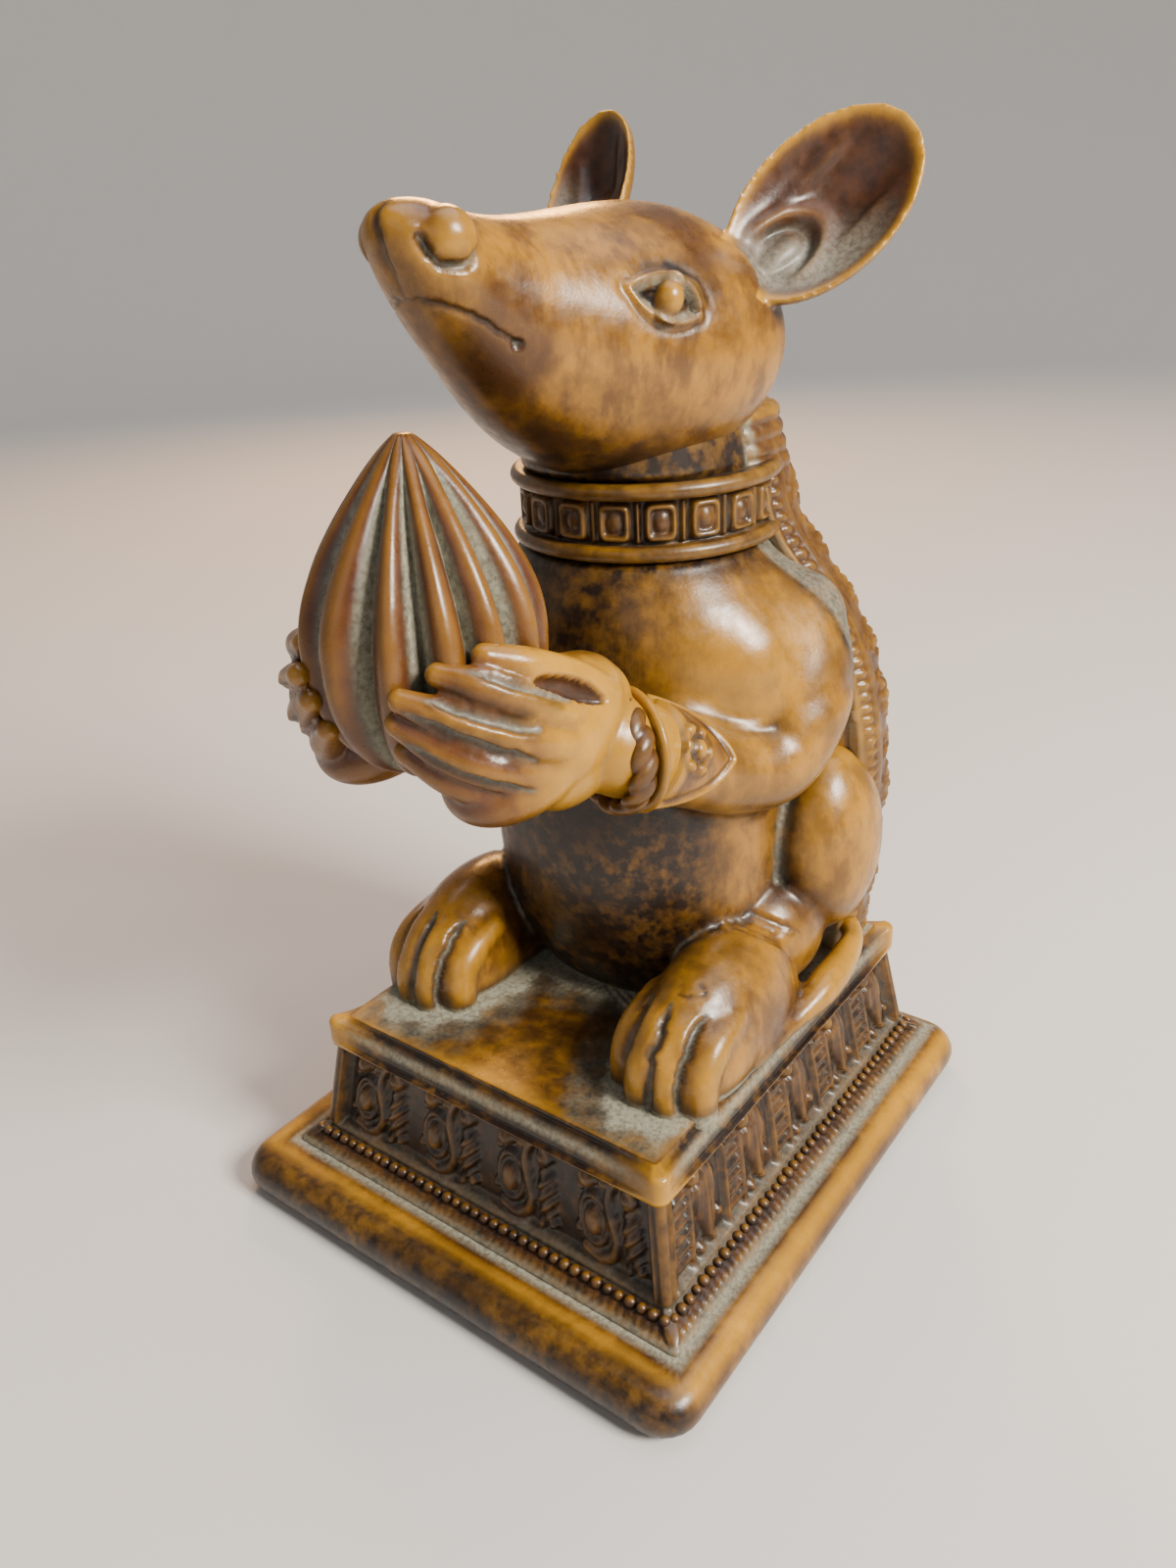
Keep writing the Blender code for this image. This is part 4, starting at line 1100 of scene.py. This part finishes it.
def ear_marks(head, root, tip, facing, half_width):
    """Red-brown hollow with a folded ridge at the root, a rubbed rim and dust."""
    root, tip, facing = (np.array(v, float) for v in (root, tip, facing))
    along = tip - root
    half_length = np.linalg.norm(along) / 2
    along /= 2 * half_length
    facing -= along * (facing @ along)
    facing /= np.linalg.norm(facing)
    across = np.cross(along, facing)
    local = head.points - (root + tip) / 2
    s, t, w = local @ along, local @ across, local @ facing
    share = np.hypot(s / half_length, t / half_width)
    front = (head.normals @ facing > 0.1) & (share < 1.02) & (np.abs(w + EAR_DEPTH * (1 - share**2)) < 0.7)
    inner = front * fall(share, 0.78, 0.95)
    above = s + half_length * 0.52
    far = np.hypot(above / 5.0, t / 3.0)
    fold = bell(far, 0.95, 0.24) * step(above, -2.5, 1.0) * inner
    bump = np.clip(1 - ((above - 0.3) / 2.6) ** 2 - (t / 1.2) ** 2, 0, 1) * inner
    pit = bell(far, 0.66, 0.14) * step(above, -1.0, 1.0) * inner
    ribs = bell(np.abs(t), half_width * 0.5, 0.7) * step(s, -half_length * 0.5, half_length * 0.1)
    ribs = ribs * fall(s, half_length * 0.3, half_length * 0.75) * inner
    head.push(0.6 * fold + 0.6 * bump - 0.4 * pit + 0.4 * ribs)
    head.mark("red", inner)
    head.mark("stain_and_shade", 0.65 * inner * (1 - 0.6 * fold) + 0.3 * pit)
    low = 1.2 * t * np.sign(root[0]) - s
    head.mark("dust", 0.5 * inner * step(low, -half_length * 0.2, half_length * 0.9))
    head.mark("worn", front * 0.9 * step(share, 0.86, 0.97))


# Each ear's root, tip, facing and half-width.
EARS = (
    ((11.4, 7.4, 91.8), (21.4, 18.8, 104.2), (0.45, -0.78, 0.43), 6.3),
    ((-9.0, 11.0, 93.6), (-13.6, 22.4, 107.4), (-0.1, -0.9, 0.43), 5.2),
)
# The skull from the nose to the back, as y, top, bottom and half-width.
HEAD_ROWS = (
    (-23.2, 98.6, 97.0, 0.9),
    (-22.6, 99.3, 95.9, 2.2),
    (-21.0, 99.8, 93.2, 3.5),
    (-18.5, 99.7, 89.8, 4.6),
    (-15.5, 98.9, 86.3, 5.4),
    (-11.5, 98.4, 82.2, 7.0),
    (-7.0, 98.4, 79.0, 9.2),
    (-2.0, 98.7, 76.8, 11.6),
    (3.0, 99.0, 75.6, 13.4),
    (8.0, 98.9, 75.6, 14.2),
    (12.5, 97.4, 77.0, 13.4),
    (16.5, 94.4, 79.5, 10.8),
    (19.0, 91.0, 82.8, 7.0),
    (20.2, 88.2, 85.8, 2.6),
)
NOSTRIL = ((2.9, -21.8, 97.0), (3.1, -21.3, 95.9), (3.7, -20.1, 95.1), (4.4, -18.8, 95.3), (4.6, -17.9, 96.4))
MOUTH = ((0.2, -20.9, 93.1), (2.3, -20.0, 92.8), (3.8, -18.2, 91.8), (4.7, -16.0, 90.3), (5.2, -14.6, 89.3))
CLEFT = ((0, -21.6, 99.4), (0, -23.0, 97.6), (0, -22.3, 95.4), (0, -21.0, 93.3))


def mouse_head():
    clay = bmesh.new()
    rings = []
    for y, top, bottom, half_width in between(HEAD_ROWS):
        middle, half_high = (0, y, (top + bottom) / 2), (top - bottom) / 2
        rings.append(oval(middle, half_width, half_high, (1, 0, 0), (0, 0, 1), points=64))
    skin(clay, rings)
    for root, tip, facing, half_width in EARS:
        ear(clay, root, tip, facing, half_width)
    for side in (-1, 1):
        ball(clay, (side * 2.7, -19.0, 97.0), (2.2, 2.4, 2.3))
        ball(clay, (side * 10.6, -1.8, 91.6), (1.3, 3.2, 2.1), turn=(0, 0, -side * 24))
        ball(clay, (side * 9.6, 10.4, 92.8), (2.0, 2.4, 2.8))
    head = fused(clay, 0.25, 14)
    for side in (-1, 1):
        eye(head, side)
        head.turn()
        head.dome(sided((4.2, -19.8, 97.3), side), (2.3, 2.3, 2.1), 0.3)
        comma, mouth = sided(NOSTRIL, side), sided(MOUTH, side)
        head.groove(comma, 0.5, 0.5, stain_and_shade=0.8, dust=0.4, taper=0.3)
        head.groove([comma[0], (comma[0] + comma[1]) / 2, comma[1]], 0.6, 0.5, stain_and_shade=1.0, taper=0)
        head.groove(mouth, 0.36, 0.2, stain_and_shade=0.8, taper=0.1)
        head.groove([mouth[-2] * 0.2 + mouth[-1] * 0.8, mouth[-1]], 0.6, 0.4, stain_and_shade=1.0, taper=0)
    head.groove(CLEFT, 0.6, 0.3, stain_and_shade=0.6, taper=0.25)
    head.turn()
    for settings in EARS:
        ear_marks(head, *settings)
    head.weather(fine=6, broad=60, depth=0.4, crease=0.1, stain_and_shade=0.85, dust=0.5, worn=0.7)
    y, z = head.points[:, 1], head.points[:, 2]
    # The jaw's underside and the lower front of the face are darker: partly stain, partly painted shade.
    chin = step(-head.normals[:, 2], 0.35, 0.95)
    head.mark("stain_and_shade", 0.85 * chin * step(-y, -11, 4))
    head.mark("stain_and_shade", 0.55 * chin)
    head.mark("stain_and_shade", 0.45 * step(-head.normals[:, 1], 0.45, 0.95) * fall(z, 90, 96))
    return head.piece("mouse_head")


mouse_head()


# Sweet.
# A pointed teardrop with deep rounded ribs, red-brown on the ribs and packed with dust between them.

SWEET_MIDDLE_Y = -22.9
SWEET_RADIUS = 10.1
SWEET_BELLY_Z = 67.2
SWEET_TIP_Z = 84.4
SWEET_BOTTOM_Z = 56.5
SWEET_RIBS = 13
SWEET_PHASE = 0.08


def ribbed_sweet():
    rows, points = 130, SWEET_RIBS * 24
    turn = np.linspace(0, 2 * math.pi, points + 1)[:-1]
    rings, depth = [], []
    for k in range(rows + 1):
        angle = math.pi * (0.015 + 0.97 * k / rows)
        if angle < math.pi / 2:
            z = SWEET_BELLY_Z - (SWEET_BELLY_Z - SWEET_BOTTOM_Z) * math.cos(angle)
            reach = math.sin(angle) ** 0.8
        else:
            share = (angle - math.pi / 2) / (math.pi / 2)
            z = SWEET_BELLY_Z + (SWEET_TIP_Z - SWEET_BELLY_Z) * share
            reach = math.sin(math.pi / 2 * (1 - share)) ** 1.1 + 0.12 * share * (1 - share**12)
        tip = step(z, SWEET_TIP_Z - 6.0, SWEET_TIP_Z - 1.0)
        sway = 0.06 * np.sin(turn * 3 + z * 0.11)
        wide = 0.72 + 0.25 * np.sin(turn * 5 + 0.9)
        rib = np.abs(np.sin((turn + sway) * SWEET_RIBS / 2)) ** wide
        radius = SWEET_RADIUS * reach * (1 - 0.33 * (1 - rib) * (1 - 0.85 * tip))
        rings.append(round_axis((0, SWEET_MIDDLE_Y, z), turn + SWEET_PHASE, radius))
        depth.append((1 - rib) * (1 - 0.6 * tip))
    sweet = Surface(*wrapped(rings))
    gap = np.concatenate([np.array(depth).ravel(), [0, 0]])
    z = sweet.points[:, 2]
    sweet.mark("red", 0.85 * fall(gap, 0.3, 0.6))
    sweet.mark("stain_and_shade", 0.15 + 0.7 * step(gap, 0.14, 0.45))
    sweet.mark("dust", 0.9 * step(gap, 0.24, 0.55))
    sweet.mark("dust", 0.6 * step(gap, 0.2, 0.5) * fall(z, 62, 68))
    sweet.mark("worn", 0.25 * fall(gap, 0.0, 0.2) * step(z, 60, 66))
    return sweet.piece("ribbed_sweet")


ribbed_sweet()


# Hands.
# Each hand cups the sweet with a thumb and four long fingers, cut apart by deep grooves. A plain rim, a
# twisted bangle and a pointed cuff with a small flower close the sleeve.

PALMS = (
    ((10.3, -17.2, 59.2), (3.6, 7.4, 5.8)),
    ((9.3, -19.8, 60.4), (4.2, 7.6, 5.4)),
    ((7.6, -21.0, 58.4), (6.0, 8.0, 4.0)),
    ((9.6, -18.2, 60.2), (4.7, 7.6, 5.3)),
)
WRIST = ((12.9, -8.6, 54.2, 4.2), (12.4, -11.0, 55.6, 4.5), (11.6, -14.0, 57.4, 4.4))
FINGERS = (
    ((12.0, -15.0, 62.4, 1.6), (11.9, -19.0, 65.2, 1.5), (10.8, -23.2, 67.4, 1.4), (9.2, -26.0, 68.6, 1.1)),
    ((12.4, -21.0, 63.2, 1.6), (11.6, -24.6, 65.0, 1.6), (9.9, -27.4, 66.8, 1.5), (7.4, -29.3, 67.9, 1.0)),
    ((12.2, -22.0, 60.6, 1.8), (11.5, -25.8, 62.3, 1.8), (9.0, -29.3, 64.5, 1.6), (5.6, -31.7, 66.3, 1.0)),
    ((11.5, -22.0, 58.0, 1.8), (10.8, -26.2, 59.6, 1.8), (8.2, -29.6, 61.8, 1.6), (4.8, -31.6, 64.2, 1.0)),
    ((10.2, -21.0, 56.2, 1.8), (9.8, -25.2, 57.2, 1.8), (7.3, -28.5, 59.0, 1.6), (4.4, -30.6, 61.4, 1.0)),
)


def mouse_hands():
    clay = bmesh.new()
    for side in (-1, 1):
        for middle, radii in PALMS:
            ball(clay, sided(middle, side), radii, turn=(20, 0, 0))
        limb(clay, sided(WRIST, side))
        for digit in FINGERS:
            limb(clay, sided(digit, side), sides=16)
    hands = fused(clay, 0.25, 6)
    hollow = np.zeros(len(hands.points))
    for side in (-1, 1):
        digits = sided(FINGERS, side)[:, :, :3]
        for line in (digits[1:] + digits[:-1]) / 2:
            line[0] = 0.35 * line[0] + 0.65 * line[1]
            line += (side * 1.6, -0.8, 0.2)
            hands.groove(line, 0.75, 0.7, stain_and_shade=1.0, dust=0.45, taper=0.2)
            hands.groove(line, 1.5, 0.0, stain_and_shade=0.6, taper=0.25)
        # The long hollow between thumb and first finger is filled flat first and then sunk straight in.
        along, out = sided((-0.14, -0.86, 0.5), side), sided((0.86, 0.12, 0.45), side)
        out -= along * (out @ along) / (along @ along)
        out /= np.linalg.norm(out)
        apart = hands.points - sided((12.8, -20.3, 64.6), side)
        run, across, high = apart @ along, apart @ np.cross(along, out), apart @ out
        near = fall(np.hypot(run / 5.0, across / 2.0), 0.75, 1.1) * (np.abs(high) < 3.0)
        hands.soften(near, 50)
        sunk = np.clip(1 - (run / 4.0) ** 2 - (across / 0.85) ** 2, 0, 1) * (np.abs(high) < 3.0)
        hands.points -= (1.15 * sunk**0.35)[:, None] * out
        hollow = np.maximum(hollow, step(sunk, 0.0, 0.1))
    hands.weather(fine=6, broad=40, depth=0.4, crease=0.12, stain_and_shade=0.95, dust=0.4, worn=0.75)
    # Painted shade on surfaces that face down.
    hands.mark("stain_and_shade", 0.4 * step(-hands.normals[:, 2], 0.3, 0.95))
    fore = step(-hands.points[:, 1], 22.0, 28.0)
    hands.mark("red", 0.85 * fore)
    hands.mark("worn", 0.8 * (1 - fore) * step(np.abs(hands.points[:, 0]), 9.5, 12.5))
    hands.mark("red", hollow)
    hands.mark("stain_and_shade", 0.65 * hollow)
    for mark in ("worn", "dust"):
        hands.marks[mark] *= 1 - hollow
    return hands.piece("mouse_hands")


def facing_out(points, faces, middle):
    """A surface whose normals point away from the middle."""
    made = Surface(points, faces)
    if ((made.points - middle) * made.normals).sum() < 0:
        made = Surface(points, [face[::-1] for face in faces])
    return made


def bangle(middle, along, radius, name, strands=2, twists=7, thick=0.85, wide=1.35):
    """A ring of twisted strands round the wrist."""
    middle, along = np.array(middle, float), np.array(along, float)
    along /= np.linalg.norm(along)
    side = np.cross(along, (0, 0, 1.0))
    side /= np.linalg.norm(side)
    up = np.cross(side, along)
    points = []
    around, across = 252, 18
    for i in range(around):
        turn = 2 * math.pi * i / around
        out = math.cos(turn) * side + math.sin(turn) * up
        lean = twists * turn
        for j in range(across):
            a = 2 * math.pi * j / across
            swell = 0.68 + 0.32 * abs(math.cos((a - lean) * strands / 2))
            reach, shift = radius + thick * swell * math.cos(a), wide * swell * math.sin(a)
            points.append(middle + out * reach + along * shift)
    faces = []
    for i in range(around):
        for j in range(across):
            k, m = (i + 1) % around, (j + 1) % across
            faces.append((i * across + j, i * across + m, k * across + m, k * across + j))
    ring = facing_out(points, faces, middle)
    ring.mark("red", 0.7 if twists else 0.2)
    ring.mark("stain_and_shade", 0.5 if twists else 0.0)
    ring.weather(fine=3, broad=10, depth=0.12, crease=0.08, stain_and_shade=0.9, dust=0.3, worn=0.2 if twists else 0.8)
    return ring.piece(name)


def wrist_cuff(side, name):
    """A pointed cuff over the forearm behind the bangles, with a flower on its outer side."""
    path = [k for k in smooth_path(ARM[2:], 24) if -11.6 < k[1] < 0.5]
    rings, edge, boss = [], [], []
    turn = np.linspace(-math.pi, math.pi, 181)[:-1]
    for before, knot, after in zip(path, path[1:], path[2:]):
        length = abs(-11.5 - knot[1]) / 0.87
        along = np.array((after - before).xyz)
        along /= np.linalg.norm(along)
        out = np.array((1.0, 0.0, 0.0))
        out -= along * (out @ along)
        out /= np.linalg.norm(out)
        up = np.cross(out, along)
        up *= 1 if up[2] > 0 else -1
        width = 7.4 * max(1 - length / 9.6, 0) ** 0.75
        off = (turn - 0.33) * knot[3]
        margin = width - np.abs(off)
        rise = -0.7 + 1.1 * step(margin, -0.3, 0.25) + 0.3 * bell(margin, 0.45, 0.25)
        rise -= 0.18 * bell(margin, 1.2, 0.25)
        far, angle = np.hypot(length - 3.0, off), np.arctan2(off, length - 3.0)
        rise += 0.7 * np.sqrt(np.clip(1 - (far / 0.85) ** 2, 0, None)) - 0.25 * bell(far, 1.05, 0.2)
        rise += 0.42 * np.clip(np.cos(6 * angle) + 0.3, 0, 1) * bell(far, 1.75, 0.45)
        ways = np.cos(turn)[:, None] * out + np.sin(turn)[:, None] * up
        rings.append(np.array(knot.xyz) + (knot[3] + rise)[:, None] * ways)
        edge.append(margin)
        boss.append(far)
    points, faces = wrapped(rings)
    points *= (side, 1, 1)
    cuff = facing_out(points, faces, points.mean(0))
    margin, far = (np.concatenate([np.array(values).ravel(), [9, 9]]) for values in (edge, boss))
    cuff.mark("stain_and_shade", 0.8 * bell(far, 1.1, 0.35))
    cuff.mark("stain_and_shade", 0.6 * bell(far, 2.3, 0.3))
    cuff.mark("stain_and_shade", 0.7 * bell(margin, -0.2, 0.3))
    cuff.mark("red", 0.2)
    cuff.weather(fine=3, broad=12, depth=0.14, crease=0.08, stain_and_shade=0.9, dust=0.35, worn=0.7)
    return cuff.piece(name)


def bracelets(side, name):
    """A plain rim, a twisted bangle and the cuff of one wrist."""
    wrist = sided((-0.373, -0.924, 0.087), side)
    rim, twist = sided((12.25, -11.7, 56.1), side), sided((11.6, -13.4, 56.25), side)
    bangle(rim, wrist, 5.0, name + "_bangle_rim", strands=1, twists=0, thick=0.65, wide=0.5)
    bangle(twist, wrist, 4.7, name + "_bangle_twist")
    wrist_cuff(side, name + "_cuff")


mouse_hands()
bracelets(1, "left")
bracelets(-1, "right")


# Camera, light and floor.
# The camera looks down on the figure from its left front. Large soft lamps stand in for a studio.


FLOOR_REACH = 0.7
FLOOR_BEND = 0.4
FLOOR_RIM = 1.6


def pale_floor():
    """A level floor that rises at its rim like a bowl. Its sizes are metres."""
    mesh = bpy.data.meshes.new("floor")
    profile = [(0.02, 0.0), (0.3, 0.0), (FLOOR_REACH, 0.0)]
    for a in eased(0, math.pi / 2, 16)[1:]:
        profile.append((FLOOR_REACH + FLOOR_BEND * math.sin(a), FLOOR_BEND * (1 - math.cos(a))))
    profile.append((FLOOR_REACH + FLOOR_BEND, FLOOR_RIM))
    around = 96
    points = [(0, 0, 0)]
    turns = eased(0, 2 * math.pi, around)[:-1]
    for reach, height in profile:
        points += [(reach * math.cos(a), reach * math.sin(a), height) for a in turns]
    faces = [(0, 1 + i, 1 + (i + 1) % around) for i in range(around)]
    for row in range(len(profile) - 1):
        low, high = 1 + row * around, 1 + (row + 1) * around
        faces += [(low + i, high + i, high + (i + 1) % around, low + (i + 1) % around) for i in range(around)]
    mesh.from_pydata(points, [], faces)
    mesh.shade_smooth()
    floor = bpy.data.objects.new("floor", mesh)
    paper = bpy.data.materials.new("pale_paper")
    paper.use_nodes = True
    shader = paper.node_tree.nodes["Principled BSDF"]
    shader.inputs["Base Color"].default_value = colour("c9c7c3")
    shader.inputs["Roughness"].default_value = 0.85
    mesh.materials.append(paper)
    bpy.context.scene.collection.objects.link(floor)


def studio_light():
    world = bpy.data.worlds.new("studio")
    world.use_nodes = True
    sky = world.node_tree.nodes["Background"].inputs
    sky["Color"].default_value, sky["Strength"].default_value = colour("dfe4ea"), 0.14
    bpy.context.scene.world = world
    lamps = (
        ("key", (0.41, 0.00, 0.33), 0.16, 6.6, "fff6ea"),
        ("top", (0.05, 0.20, 0.95), 0.80, 6.0, "f4f6ff"),
        ("fill", (0.10, -0.60, 0.35), 0.45, 0.5, "e8eefc"),
        ("rim", (-0.32, 0.36, 0.30), 0.12, 1.8, "ffb865"),
    )
    for name, place, size, power, tint in lamps:
        lamp = bpy.data.lights.new(name, "AREA")
        lamp.size = size
        lamp.energy = power
        lamp.color = colour(tint)[:3]
        thing = bpy.data.objects.new(name, lamp)
        thing.location = place
        thing.rotation_euler = (Vector((0, 0, 0.055)) - Vector(place)).to_track_quat("-Z", "Y").to_euler()
        bpy.context.scene.collection.objects.link(thing)


def photo_camera():
    lens = bpy.data.cameras.new("camera")
    lens.sensor_fit = "VERTICAL"
    lens.sensor_height = 36.0
    lens.lens = 27.02
    lens.clip_start = 0.001
    camera = bpy.data.objects.new("camera", lens)
    right, up, back = (0.80214, 0.59518, -0.04835), (-0.22538, 0.37673, 0.89849), (0.55297, -0.70981, 0.43633)
    matrix = Matrix((right, up, back)).transposed().to_4x4()
    matrix.translation = Vector((66.39, -87.61, 98.16)) * MM
    camera.matrix_world = matrix
    bpy.context.scene.collection.objects.link(camera)
    bpy.context.scene.camera = camera


pale_floor()
studio_light()
photo_camera()
